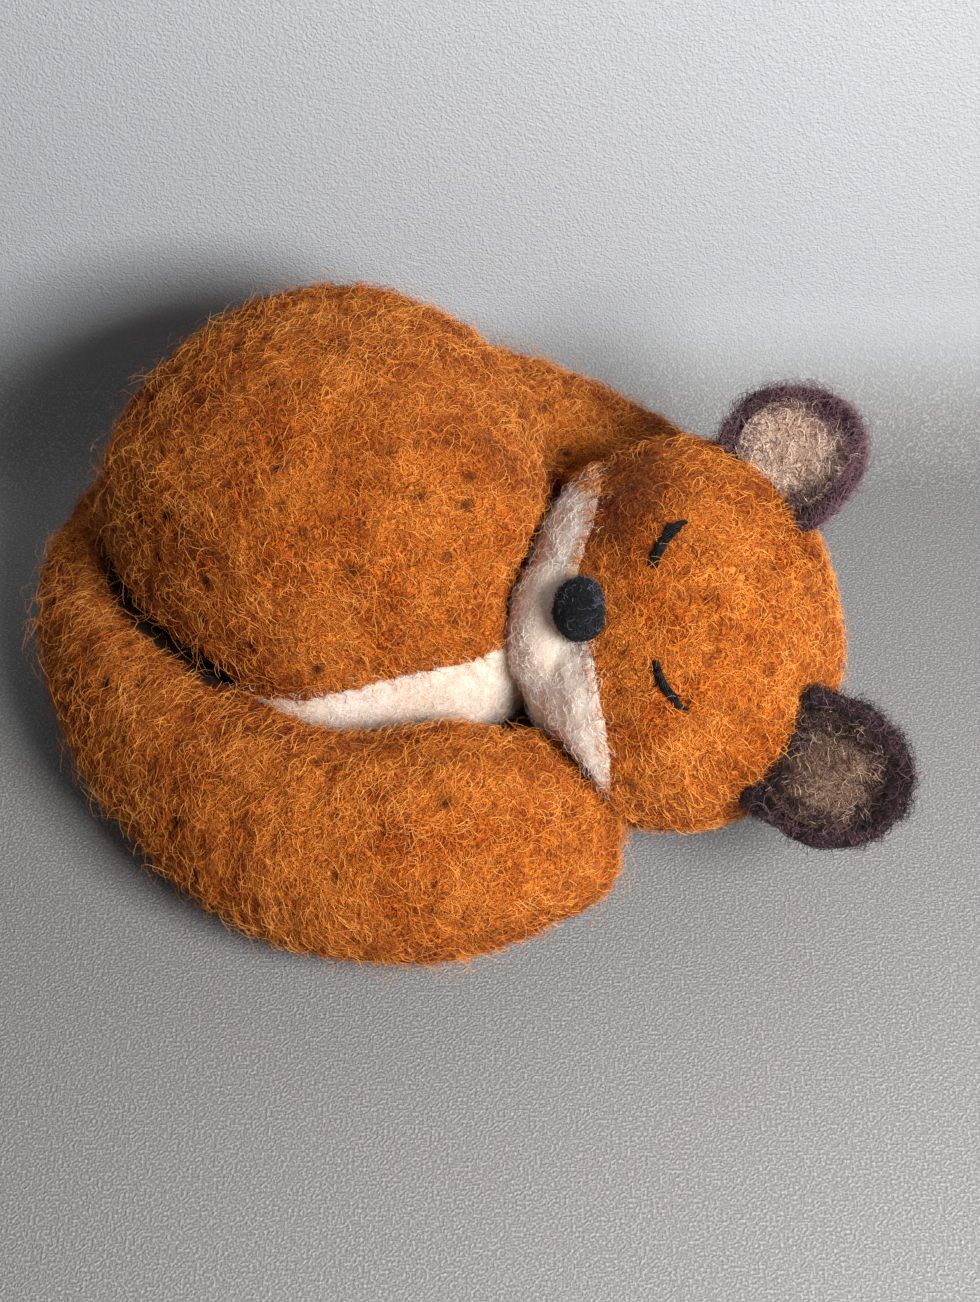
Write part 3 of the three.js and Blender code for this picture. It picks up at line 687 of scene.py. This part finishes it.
def angle_strip(name, nodes, under, fillet, middle, reach):
    """The wool in the angle between two bodies, within reach of a middle point."""
    whole = felted(name, {node: -0.1 * MM for node in nodes}, ANGLE_GRAIN, ANGLE_ROUNDS, fillet)
    trees = [skin_tree(felts[u]) for u in under]
    shape = bmesh.new()
    shape.from_mesh(whole.data)
    bpy.data.objects.remove(whole)
    hidden = []
    for corner in shape.verts:
        nearest = [tree.find_nearest(corner.co) for tree in trees]
        above = min((corner.co - near).dot(way) for near, way, _, _ in nearest)
        if above < -STRIP_DEPTH or (corner.co - middle).length > reach:
            hidden.append(corner)
    for _ in range(2):  # only what lies well inside goes, so that no hole is torn in the strip
        inside = set(hidden)
        hidden = [v for v in hidden if all(edge.other_vert(v) in inside for edge in v.link_edges)]
    bmesh.ops.delete(shape, geom=hidden, context="VERTS")
    mesh = bpy.data.meshes.new(name)
    shape.to_mesh(mesh)
    shape.free()
    strip = object_of(name + "_sheet", mesh)
    thick = strip.modifiers.new("thickness", "SOLIDIFY")
    thick.thickness = STRIP_THICKNESS
    thick.offset = -1
    made = as_mesh(strip, name)
    largest_island(made)
    made.data.shade_smooth()
    return made


nape_join = angle_strip(
    "nape_join", ["head_coat", "body_coat"], ["head_felt", "torso_felt"],
    fillet=5.5 * MM, middle=NAPE_PLACE, reach=22 * MM,
)
prick(nape_join, 0.3 * MM, 0)
nape_join.data.materials.append(FELTS["ginger"])
felts["nape_join"] = nape_join
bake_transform(nape_join)
print("nape_join faces:", len(nape_join.data.polygons))

# %% [markdown]
# ## A fibre
#
# Thousands of fibres have to be cheap, so each is a line of only four points, or of seven
# where it is long. A curve gives such a line its thickness, with a three-sided section, and
# the curve is then turned into a mesh. A fibre starts in the skin, runs along it in a bend
# and stands a little off it.

# %% Make a fibre's section and the skins that it is laid on
section = bpy.data.curves.new("fibre_section", "CURVE")
section.dimensions = "2D"
outline = section.splines.new("POLY")
outline.points.add(2)
for k, point in enumerate(outline.points):
    turn = -2 * math.pi * k / 3
    point.co = (math.cos(turn), math.sin(turn), 0, 1)
outline.use_cyclic_u = True
section_holder = object_of("fibre_section", section)

skins = {name: skin_tree(piece) for name, piece in felts.items()}
RUNS_ON = {  # a fibre runs on over the edge of the neighbour
    "torso_felt": skin_tree(felts["torso_felt"], felts["belly_felt"]),
    "head_felt": skin_tree(felts["head_felt"], felts["face_felt"]),
    "ear_near_felt": skin_tree(felts["ear_near_felt"], felts["ear_near_inside"]),
    "ear_far_felt": skin_tree(felts["ear_far_felt"], felts["ear_far_inside"]),
}
for edge_piece, coat in (
    ("belly_felt", "torso_felt"),
    ("face_felt", "head_felt"),
    ("ear_near_inside", "ear_near_felt"),
    ("ear_far_inside", "ear_far_felt"),
):
    RUNS_ON[edge_piece] = RUNS_ON[coat]
print("skins for fibres:", len(skins))

# %% [markdown]
# ## Rims
#
# Along the rim of each pad the colour is painted: painted shade in the ear linings, and a
# painted tan reflection of the ginger coat on the cream pads. The rim is found as the places
# where the coat comes out from under the pad.

# %% Find the rims of the pads and paint shade and reflection on them
MARGIN_REACH = 1.3 * MM


def tree_of(places):
    """A search tree over single places."""
    tree = KDTree(len(places))
    for k, place in enumerate(places):
        tree.insert(place, k)
    tree.balance()
    return tree


def margin_of(coat, pad):
    """The places where a coat comes out from under a pad of other wool."""
    found = []
    for corner in felts[coat].data.vertices:
        near = skins[pad].find_nearest(corner.co, MARGIN_REACH)[0]
        if near is not None and pad_over(skins[pad], corner.co, corner.normal) is None:
            found.append(corner.co)
    return tree_of(found)


MARGINS = {pad: margin_of(coat, pad) for pad, coat in (
    ("belly_felt", "torso_felt"),
    ("face_felt", "head_felt"),
    ("ear_near_inside", "ear_near_felt"),
    ("ear_far_inside", "ear_far_felt"),
)}
RIM_PAINTED_LIGHT = {  # how strong the rim's painted light is (shade in the ear linings, the coat's reflection on the cream), and how far in it reaches in mm
    "belly_felt": (0.6, 1.2),
    "face_felt": (0.3, 1.2),
    "ear_near_inside": (1.0, 2.4),
    "ear_far_inside": (0.9, 2.0),
}
for pad, (strength, reach) in RIM_PAINTED_LIGHT.items():
    mesh = felts[pad].data
    for corner, mark in zip(mesh.vertices, mesh.attributes["pit"].data):
        _, _, distance = MARGINS[pad].find(corner.co)
        # Painted light at the rim: shade on the ear linings, the coat's reflection on the cream.
        mark.value = strength * (1 - fade(distance, 0.2 * MM, reach * MM))
print("rims shaded:", ", ".join(RIM_PAINTED_LIGHT))

# %% [markdown]
# ## Where fibres grow
#
# Roots are drawn at random, so that big and small faces get the same number to the area. A
# fibre is left out where another wool covers it, and where the needle has pressed the wool.


# %% Scatter roots over a skin
def scatter(piece, count, dice):
    """Random places on a skin, each with the way that the skin faces there."""
    mesh = piece.data
    mesh.calc_loop_triangles()
    corners = np.empty(len(mesh.loop_triangles) * 3, np.int32)
    mesh.loop_triangles.foreach_get("vertices", corners)
    corners = places_of(mesh)[corners.reshape(-1, 3)]
    across = np.cross(corners[:, 1] - corners[:, 0], corners[:, 2] - corners[:, 0])
    sizes = np.linalg.norm(across, axis=1)
    chosen = dice.choice(len(sizes), count, p=sizes / sizes.sum())
    a, b = dice.random((2, count))
    past = a + b > 1
    a[past], b[past] = 1 - a[past], 1 - b[past]
    first, second, third = corners[chosen].transpose(1, 0, 2)
    roots = first + a[:, None] * (second - first) + b[:, None] * (third - first)
    ways = across[chosen] / sizes[chosen, None]
    return [(Vector(r), Vector(w)) for r, w in zip(roots.tolist(), ways.tolist())]


def covered(own, root, reach):
    """True where another skin lies on this one, so that no fibre shows."""
    for name, skin in skins.items():
        if name == own:
            continue
        near, way, _, _ = skin.find_nearest(root, reach)
        if near is not None and (root - near).dot(way) < -0.05 * MM:
            return True
    return False


EYE_GAP = 1.2 * MM
eye_solids = [frame["nodes"][node].data for node in ("eye_near", "eye_far")]
eye_places = tree_of([v.co.copy() for mesh in eye_solids for v in mesh.vertices])


def stays_bare(piece, root, way, wool):
    """True below the fox, under other wool, in a pit or a crevice, and close to an eye."""
    if way.z < -0.55 or root.z < 0.6 * MM or covered(piece.name, root, 3 * MM):
        return True
    if wool == "ginger" and pit_depth(root) > 0.2:
        return True
    return crevice_depth(piece.name, root) > 0.35 or eye_places.find(root)[2] < EYE_GAP


print("eye corners to keep clear:", sum(len(mesh.vertices) for mesh in eye_solids))


# %% Lay fibres on a skin
FIBRES_IN_PIECE = 9900  # of 20 triangles each, to stay under 200,000


def lay(skin, root, way, heading, turns, stride, heights):
    """The points of one fibre: it runs along the skin, turning as it goes."""
    points = [root - way * 0.3 * MM]
    place = root
    for turn, height in zip(turns, heights):
        heading = Quaternion(way, turn) @ heading
        near, face, _, _ = skin.find_nearest(place + heading * stride)
        way = face
        heading = (heading - way * heading.dot(way)).normalized()
        place = near
        points.append(near + way * height)
    for point in points:
        point.z = max(point.z, 0.1 * MM)
    return points


def height_profile(kind, top, luck):
    """How high each point of a fibre stands: a curl lies down again, a stray hair does not."""
    if kind == "stray":
        return [top * h for h in (0.15, 0.35, 0.6, 0.85, 1.0, 1.05)]
    return [top * h for h in (0.8, 1.0, 0.15 + luck)]


def drift_at(root):
    """How the comb is led astray: slowly over the coat, and again from tuft to tuft."""
    return noise.noise_vector(root / (24 * MM)) * 0.9 + noise.noise_vector(root / (5 * MM)) * 0.9


def turns_of(luck, curl, steps):
    """The turn at each step of a fibre. Some fibres bend back again after two steps."""
    bend = (1 if luck[3] > 0.5 else -1) * curl * (0.35 + luck[11])
    back = -1 if luck[10] > 0.8 else 1
    return [bend * (0.4 + luck[4 + k % 4]) * (back if k > 1 else 1) for k in range(steps)]


def shade_of(root, loose, wool, tone, crown_painted_shade, dice):
    """Which of a wool's shades a fibre gets: tufts of one tone, painted light where it stands off, and the
    crown's painted shade.
    """
    tuft = 0.3 * noise.noise(root / (11 * MM)) + 0.45 * noise.noise(root / (4 * MM))
    # Painted light: a fibre that stands off gets a lighter shade, one lying low a darker one.
    mixed = 0.4 + tone + 0.4 * loose + tuft - crown_painted_shade + dice.normal(0, 0.21)
    return int(min(max(mixed, 0), 0.999) * len(FIBRES[wool]))


def fibres(name, piece, wool, count, comb, seed, length=3.1, lift=0.55, curl=0.75,
           thickness=0.055, stray=0.5, tone=0.0, kind="curl", keep=lambda root: True, ground=None):
    """Lays count fibres on a skin. comb gives the way that they are stroked at a place."""
    dice = np.random.default_rng(seed)
    skin = ground or RUNS_ON.get(piece.name, skins[piece.name])
    steps = len(height_profile(kind, 1, 0))
    laid = []
    for root, way in scatter(piece, count, dice):
        luck = dice.random(12)
        if not keep(root) or stays_bare(piece, root, way, wool):
            continue
        stroke = comb(root) + drift_at(root) + Vector(luck[:3] * 2 - 1) * stray
        heading = stroke - way * stroke.dot(way)
        if heading.length < 0.05:
            continue
        heading.normalize()
        turns = turns_of(luck, curl, steps)
        stride = length * MM * (0.55 + 0.9 * luck[8]) / steps
        loose = luck[9] if kind == "stray" else luck[9] ** 3
        top = lift * MM * (0.25 + 2.2 * loose)
        points = lay(skin, root, way, heading, turns, stride, height_profile(kind, top, luck[10]))
        if wool == "ginger" and pit_depth(points[2]) > 0.5:
            continue
        # Painted shade on the crown makes the fibres there darker.
        crown_painted_shade = CROWN_FIBRE_PAINTED_SHADE * crown(root) if piece.name == "head_felt" else 0
        laid.append((points, shade_of(root, loose, wool, tone, crown_painted_shade, dice)))
    parts = max(1, math.ceil(len(laid) / FIBRES_IN_PIECE))
    for part in range(parts):
        title = name if parts == 1 else f"{name}_{part + 1}"
        made = wisps(title, laid[part::parts], wool, thickness)
        if piece.name in bodies:
            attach(made, bodies[piece.name])
        else:
            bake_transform(made)
    print(name, "fibres:", len(laid), "in", parts, "piece(s)")


def wisps(name, laid, wool, thickness):
    """Turns lines of points into thin closed tubes, thinner at the tip."""
    curve = bpy.data.curves.new(name, "CURVE")
    curve.dimensions = "3D"
    curve.bevel_mode = "OBJECT"
    curve.bevel_object = section_holder
    curve.use_fill_caps = True
    for shade in FIBRES[wool]:
        curve.materials.append(shade)
    for points, shade in laid:
        line = curve.splines.new("POLY")
        line.points.add(len(points) - 1)
        line.points.foreach_set("co", [x for p in points for x in (*p, 1)])
        last = len(points) - 1
        widths = [thickness * MM * (1 - 0.6 * (k / last) ** 2) for k in range(len(points))]
        line.points.foreach_set("radius", widths)
        line.material_index = shade
    made = as_mesh(object_of(name + "_lines", curve), name)
    made.data.shade_smooth()
    return made


print("fibre helpers ready")

# %% [markdown]
# ## Combing
#
# Wool is stroked one way as it is laid on. Round the tail it follows the curl, on the face it
# runs back from the nose, and on the haunch it sweeps over the back.

# %% Say how each part is combed
CURL_MIDDLE = Vector((-8, 8, 0)) * MM
NOSE_PLACE = middle_of("nose")


def round_the_curl(place):
    away = place - CURL_MIDDLE
    return Vector((-away.y, away.x, 0)).normalized() * 0.8


def from_the_nose(place):
    return (place - NOSE_PLACE).normalized() * 0.7


def over_the_back(place):
    return Vector((0.75, 0.45, 0.2)) * 0.7


def to_the_tip(ear):
    """Away from the middle of the head, as an ear points."""
    way = (middle_of(ear) - middle_of("head_coat")).normalized() * 0.7
    return lambda place: way


print("nose at", [round(c, 3) for c in NOSE_PLACE])

# %% Lay the coat's fibres
COAT_FUZZ = [
    # skin, how many, combed, lift
    ("torso_felt", 41000, over_the_back, 0.7),
    ("tail_felt", 28000, round_the_curl, 0.7),
    ("head_felt", 19000, from_the_nose, 0.55),
    ("nape_join", 7000, over_the_back, 0.5),
]
for k, (skin, count, comb, lift) in enumerate(COAT_FUZZ):
    fibres(skin.split("_")[0] + "_fuzz", felts[skin], "ginger", count, comb, 11 + k, lift=lift)

# %% [markdown]
# ## Stray hairs
#
# However long the felting goes on, some long hairs work loose and stand off the coat. They
# are thinner than the rest, few, and lie every way, and they soften the outline.

# %% Let some long hairs stand off
STRAYS = [
    # skin, wool, how many, length, lift, thickness
    ("torso_felt", "ginger", 3400, 8.0, 1.7, 0.035),
    ("tail_felt", "ginger", 2700, 8.0, 1.7, 0.035),
    ("head_felt", "ginger", 1200, 6.0, 1.2, 0.035),
    ("ear_near_felt", "plum", 620, 6.0, 1.5, 0.035),
    ("ear_far_felt", "plum", 620, 6.5, 1.6, 0.035),
]
for k, (skin, wool, count, length, lift, thickness) in enumerate(STRAYS):
    fibres(
        skin.replace("_felt", "_hairs"), felts[skin], wool, count, over_the_back, 60 + k,
        length, lift, curl=0.6, thickness=thickness, stray=1.2, tone=0.1, kind="stray",
    )

# %% [markdown]
# ## The other wools
#
# The cream is pricked flat and fine, the nose is hard and nearly bare, and the ears are the
# shaggiest of all. In their linings a few plum hairs are caught among the pale ones.

# %% Lay the cream, the nose's and the ears' fibres
SMALL_FUZZ = [
    # skin, wool, how many, length, lift, curl, thickness, tone
    ("belly_felt", "cream", 5000, 2.8, 0.45, 0.7, 0.04, 0.0),
    ("face_felt", "cream", 5500, 2.5, 0.45, 0.8, 0.04, 0.3),
    ("nose_felt", "black", 1000, 1.6, 0.35, 0.9, 0.05, 0),
    ("ear_near_felt", "plum", 4800, 2.9, 0.85, 0.8, 0.055, -0.25),
    ("ear_far_felt", "plum", 4200, 2.9, 0.85, 0.8, 0.055, 0.32),
    # The near ear's lining takes the darker copy of the taupe fibres: painted shade.
    ("ear_near_inside", "umber", 1500, 2.6, 0.5, 0.7, 0.05, 0),
    ("ear_far_inside", "taupe", 1300, 2.6, 0.5, 0.7, 0.05, 0),
    ("ear_near_inside", "plum", 320, 2.6, 0.5, 0.7, 0.05, -0.1),
    ("ear_far_inside", "plum", 160, 2.6, 0.5, 0.7, 0.05, 0),
]
for k, (skin, wool, count, length, lift, curl, thickness, tone) in enumerate(SMALL_FUZZ):
    comb = to_the_tip(skin[:8].rstrip("_")) if skin.startswith("ear") else from_the_nose
    title = f"{skin}_{wool}_fuzz"
    fibres(title, felts[skin], wool, count, comb, 30 + k, length, lift, curl, thickness, 0.9, tone)

# %% [markdown]
# ## Laps
#
# Where two colours meet, the needle drags fibres of each over the other, so no edge is clean.
# Fibres of the coat are laid over the rims of the pads, and pale ones out over the coat.

# %% Lap the colours over each other
MUZZLE_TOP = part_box("muzzle")[1].y
CHEEK_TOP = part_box("cheek_far")[1].y


def within(pad, reach):
    return lambda root: MARGINS[pad].find(root)[2] < reach * MM


def far_cheek_lap(root):
    """The lap over the far cheek is broad on its outer side, and broadest at its top."""
    edge, _, distance = MARGINS["face_felt"].find(root)
    broad = fade(root.y, MUZZLE_TOP - 4 * MM, CHEEK_TOP) if edge.x > root.x else 0
    return distance < (1.3 + 4.2 * broad) * MM


def at_an_ear(root):
    found = [skins[ear].find_nearest(root, 3.5 * MM)[0] for ear in ("ear_near_felt", "ear_far_felt")]
    return any(near is not None for near in found)


LAPS = [
    # name, skin, wool, how many are tried, length, lift, tone, which are kept
    ("cheek_lap", "face_felt", "ginger", 22000, 2.8, 0.6, 0, far_cheek_lap),
    ("belly_lap", "belly_felt", "ginger", 6000, 2.8, 0.5, 0, within("belly_felt", 1.1)),
    ("cheek_fray", "head_felt", "cream", 4000, 2.2, 0.4, -0.3, within("face_felt", 0.8)),
    ("belly_fray", "torso_felt", "cream", 12000, 2.2, 0.4, -0.3, within("belly_felt", 0.8)),
    ("ear_near_lap", "ear_near_inside", "plum", 5000, 3.0, 0.9, -0.25, within("ear_near_inside", 2.8)),
    ("ear_far_lap", "ear_far_inside", "plum", 5000, 3.0, 0.9, 0.25, within("ear_far_inside", 1.8)),
    ("ear_root_lap", "head_felt", "ginger", 30000, 4.0, 0.9, 0, at_an_ear),
]
for k, (name, skin, wool, count, length, lift, tone, keep) in enumerate(LAPS):
    comb = to_the_tip("ear_near") if name == "ear_root_lap" else over_the_back
    fibres(
        name, felts[skin], wool, count, comb, 90 + k, length, lift,
        curl=0.7, thickness=0.045, stray=1.0, tone=tone, keep=keep,
    )

# %% [markdown]
# ## The end of the tail
#
# The head is pricked to the end of the tail. Each of the two skins sends fibres over to the
# other, so that no line shows where they meet, and each fibre goes with the skin it grows on.

# %% Felt the end of the tail to the head
TIP_REACH = 4.0 * MM
TIP_GROUND = skin_tree(felts["tail_felt"], felts["head_felt"], felts["face_felt"])


def tip_lap(skin, other, seed):
    beyond = skins[other]
    fibres(
        "tip_lap_" + skin.split("_")[0], felts[skin], "ginger", 36000,
        lambda place: (beyond.find_nearest(place)[0] - place).normalized(), seed,
        length=4.6, lift=0.9, curl=0.6, thickness=0.055, stray=0.6,
        keep=lambda root: beyond.find_nearest(root, TIP_REACH)[0] is not None, ground=TIP_GROUND,
    )


tip_lap("tail_felt", "head_felt", 120)
tip_lap("head_felt", "tail_felt", 121)

# %% [markdown]
# ## Closed eyes
#
# Each closed eye is a wisp of black wool, twisted between the fingers and pricked down in an
# arc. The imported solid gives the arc, ten strands wind round it as in the real twist, and
# some loose ends stand off it.

# %% Twist the eyes
EYE_STRANDS = 10
EYE_STEPS = 16
EYE_ENDS = 18  # loose ends that stand off the twist
EYE_SWERVE = 0.55 * MM
EYE_HEIGHT = 0.55 * MM  # of the twist's middle above the skin


def middle_line(node, steps):
    """The line along a long thin solid, from the slices across its longest direction."""
    places = places_of(frame["nodes"][node].data).astype(float)
    centre = places.mean(0)
    _, _, axes = np.linalg.svd(places - centre, full_matrices=False)
    along = (places - centre) @ axes[0]
    stops = np.linspace(along.min() + 0.4 * MM, along.max() - 0.4 * MM, steps)
    found = [places[np.abs(along - s) < 1.6 * MM].mean(0) for s in stops]
    return [Vector(p) for p in found]


def eye(name, node, strand, spread):
    line = middle_line(node, EYE_STEPS)
    dice = np.random.default_rng(len(name))
    laid = []
    for k in range(EYE_STRANDS):
        points = []
        for step, place in enumerate(line):
            share = step / (EYE_STEPS - 1)
            near, way, _, _ = skins["head_felt"].find_nearest(place)
            ahead = line[min(step + 1, EYE_STEPS - 1)] - line[max(step - 1, 0)]
            aside = way.cross(ahead).normalized()
            turn = 2 * math.pi * (k / EYE_STRANDS + 1.6 * share)
            width = spread * MM * (0.35 + 0.65 * math.sin(math.pi * share))
            offset = aside * math.cos(turn) * width + way * (math.sin(turn) * 0.6 * width)
            points.append(near + way * EYE_HEIGHT + offset)
        laid.append((points, int(dice.integers(0, 2))))
    for _ in range(EYE_ENDS):
        start = points[1 + int(dice.integers(0, EYE_STEPS - 4))]
        _, way, _, _ = skins["head_felt"].find_nearest(start)
        swerve = Vector(dice.normal(0, 1, 3).tolist()) * EYE_SWERVE
        swerve -= way * swerve.dot(way)
        rise = way * strand * MM
        ends = [start + swerve * share + rise * (1.2 - share) for share in (0, 0.4, 0.8, 1.2)]
        laid.append((ends, int(dice.integers(0, 2))))
    made = wisps(name, laid, "black", strand)
    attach(made, "head")
    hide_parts(node)
    return made


eye_near = eye("eye_near_wisp", "eye_near", 0.24, 0.62)
eye_far = eye("eye_far_wisp", "eye_far", 0.26, 0.85)
print("eye wisps:", eye_near.name, eye_far.name)

# %% [markdown]
# ## What the pieces are
#
# Each shown piece's wool is read from the name of its first material and looked up in the
# table of finishes, but nothing is set from it. Felted wool is firm, so it is nearly full.

# %% Read each piece's wool, and remove the fibre section
SLOTS = {"ginger": "ginger_wool", "cream": "cream_wool", "plum": "plum_wool",
         "taupe": "taupe_wool", "umber": "taupe_wool", "black": "black_wool"}
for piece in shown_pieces():
    first = piece.data.materials[0].name if piece.data.materials else ""
    wool = first.split("_")[0]
    "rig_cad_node" not in piece and wool in SLOTS

bpy.data.objects.remove(section_holder)

# %% [markdown]
# ## Table, wall and light
#
# The fox lies on pale grey textured paper that bends up into a wall just behind it. The light
# is a window in front on the right, with the room's own weak light from all round.

# %% Lay the table and bend it up into a wall
FLOOR_FRONT, FLOOR_BACK = -2.5, 0.064
BEND_RADIUS = 0.03
WALL_HEIGHT = 0.5
SHEET_WIDTH = 5.0

sheet = bmesh.new()
left = sheet.verts.new((-SHEET_WIDTH / 2, FLOOR_FRONT, 0))
right = sheet.verts.new((SHEET_WIDTH / 2, FLOOR_FRONT, 0))
edge = sheet.edges.new((left, right))
profile = [(FLOOR_BACK, 0)]
for k in range(1, 13):
    turn = math.pi / 2 * k / 12
    profile.append((FLOOR_BACK + BEND_RADIUS * math.sin(turn), BEND_RADIUS * (1 - math.cos(turn))))
profile.append((FLOOR_BACK + BEND_RADIUS, WALL_HEIGHT))
for y, z in profile:
    grown = bmesh.ops.extrude_edge_only(sheet, edges=[edge])["geom"]
    corners = [g for g in grown if isinstance(g, bmesh.types.BMVert)]
    for corner in corners:
        corner.co.y, corner.co.z = y, z
    edge = next(g for g in grown if isinstance(g, bmesh.types.BMEdge) and set(g.verts) == set(corners))
bmesh.ops.recalc_face_normals(sheet, faces=sheet.faces)
mesh = bpy.data.meshes.new("paper")
sheet.to_mesh(mesh)
sheet.free()
paper = object_of("paper", mesh)
mesh.shade_smooth()
if mesh.polygons[0].normal.z < 0:
    mesh.flip_normals()

table = bmesh.new()
bmesh.ops.create_grid(table, x_segments=1, y_segments=1, size=2.5)
bmesh.ops.translate(table, verts=table.verts, vec=(0, 0, -0.8 * MM))
mesh = bpy.data.meshes.new("table")
table.to_mesh(mesh)
table.free()
table = object_of("table", mesh)


def paper_finish(name, front_only):
    """Pale paper with a fine grain. Seen from behind, the sheet in front of the table is clear."""
    made, shader, nodes = material(name, 0.55, 0.0, 0.4)
    place = nodes.add("ShaderNodeTexCoord", output=3)
    grain = nodes.add("ShaderNodeTexNoise", {}, {"Vector": place, "Scale": 2100.0, "Detail": 3.0})
    height = nodes.add("ShaderNodeSeparateXYZ", {}, {0: place}, output=2)
    # Painted shade: the floor is darker than the wall, though both are the same paper.
    tint = height.between(0.0, 0.03).mix(colour("7c7c7c"), colour("babec3"))
    tint = (grain.between(0.45, 0.7) * 0.45).mix(tint, colour("c8c8c8"))
    made.node_tree.links.new(tint.socket, shader.inputs["Base Color"])
    bump = nodes.add("ShaderNodeBump", {}, {"Strength": 1.0, "Distance": 0.5 * MM, "Height": grain})
    made.node_tree.links.new(bump.socket, shader.inputs["Normal"])
    if front_only:
        behind = nodes.add("ShaderNodeNewGeometry", output=6)
        clear = nodes.add("ShaderNodeBsdfTransparent")
        shown = nodes.add("ShaderNodeMixShader", {}, {0: behind, 2: clear})
        made.node_tree.links.new(shader.outputs[0], shown.socket.node.inputs[1])
        made.node_tree.links.new(shown.socket, made.node_tree.nodes["Material Output"].inputs[0])
    return made


paper.data.materials.append(paper_finish("textured_paper", True))
table.data.materials.append(paper_finish("table_paper", False))
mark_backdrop(paper, table)
print("paper bends up", FLOOR_BACK, "m behind the middle")

# %% Light it from a window on the right
WINDOW_PLACE = Vector((0.196, -0.272, 0.29))
WINDOW_POWER = 3.25
ROOM_LIGHT = 0.12

window = bpy.data.lights.new("window", "AREA")
window.shape = "RECTANGLE"
window.size, window.size_y = 0.15, 0.13
window.energy = WINDOW_POWER
window.color = (1.0, 0.985, 0.96)
lamp = bpy.data.objects.new("window", window)
scene.collection.objects.link(lamp)
lamp.location = WINDOW_PLACE
lamp.rotation_euler = (Vector((0, 0, 0.03)) - WINDOW_PLACE).to_track_quat("-Z", "Y").to_euler()

world = bpy.data.worlds.new("room")
world.use_nodes = True
nodes = Shade(world.node_tree)
seen = nodes.add("ShaderNodeLightPath")
around = nodes.add("ShaderNodeBackground", {}, {0: (0.95, 0.97, 1.0, 1), 1: ROOM_LIGHT})
beyond = nodes.add("ShaderNodeBackground", {}, {0: (0.62, 0.65, 0.68, 1), 1: 1.0})
both = nodes.add("ShaderNodeMixShader", {}, {0: seen, 1: around, 2: beyond})
world.node_tree.links.new(both.socket, world.node_tree.nodes["World Output"].inputs[0])
scene.world = world
print("window", WINDOW_POWER, "W, room", ROOM_LIGHT)

# %% [markdown]
# ## How far the wool stands proud
#
# The wool may stand a little proud of the imported solids, and no more. How far it has grown
# at each side is printed, with the number of triangles in all.

# %% Write the sizes and finish
low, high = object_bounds()
for side, grown in (("low", cad_low - low), ("high", high - cad_high)):
    print("grown at the", side, "sides by mm:", [round(x / MM, 1) for x in grown])

faces = sum(len(polygon.vertices) - 2 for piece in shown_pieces() for polygon in piece.data.polygons)
print("triangles in all:", faces)
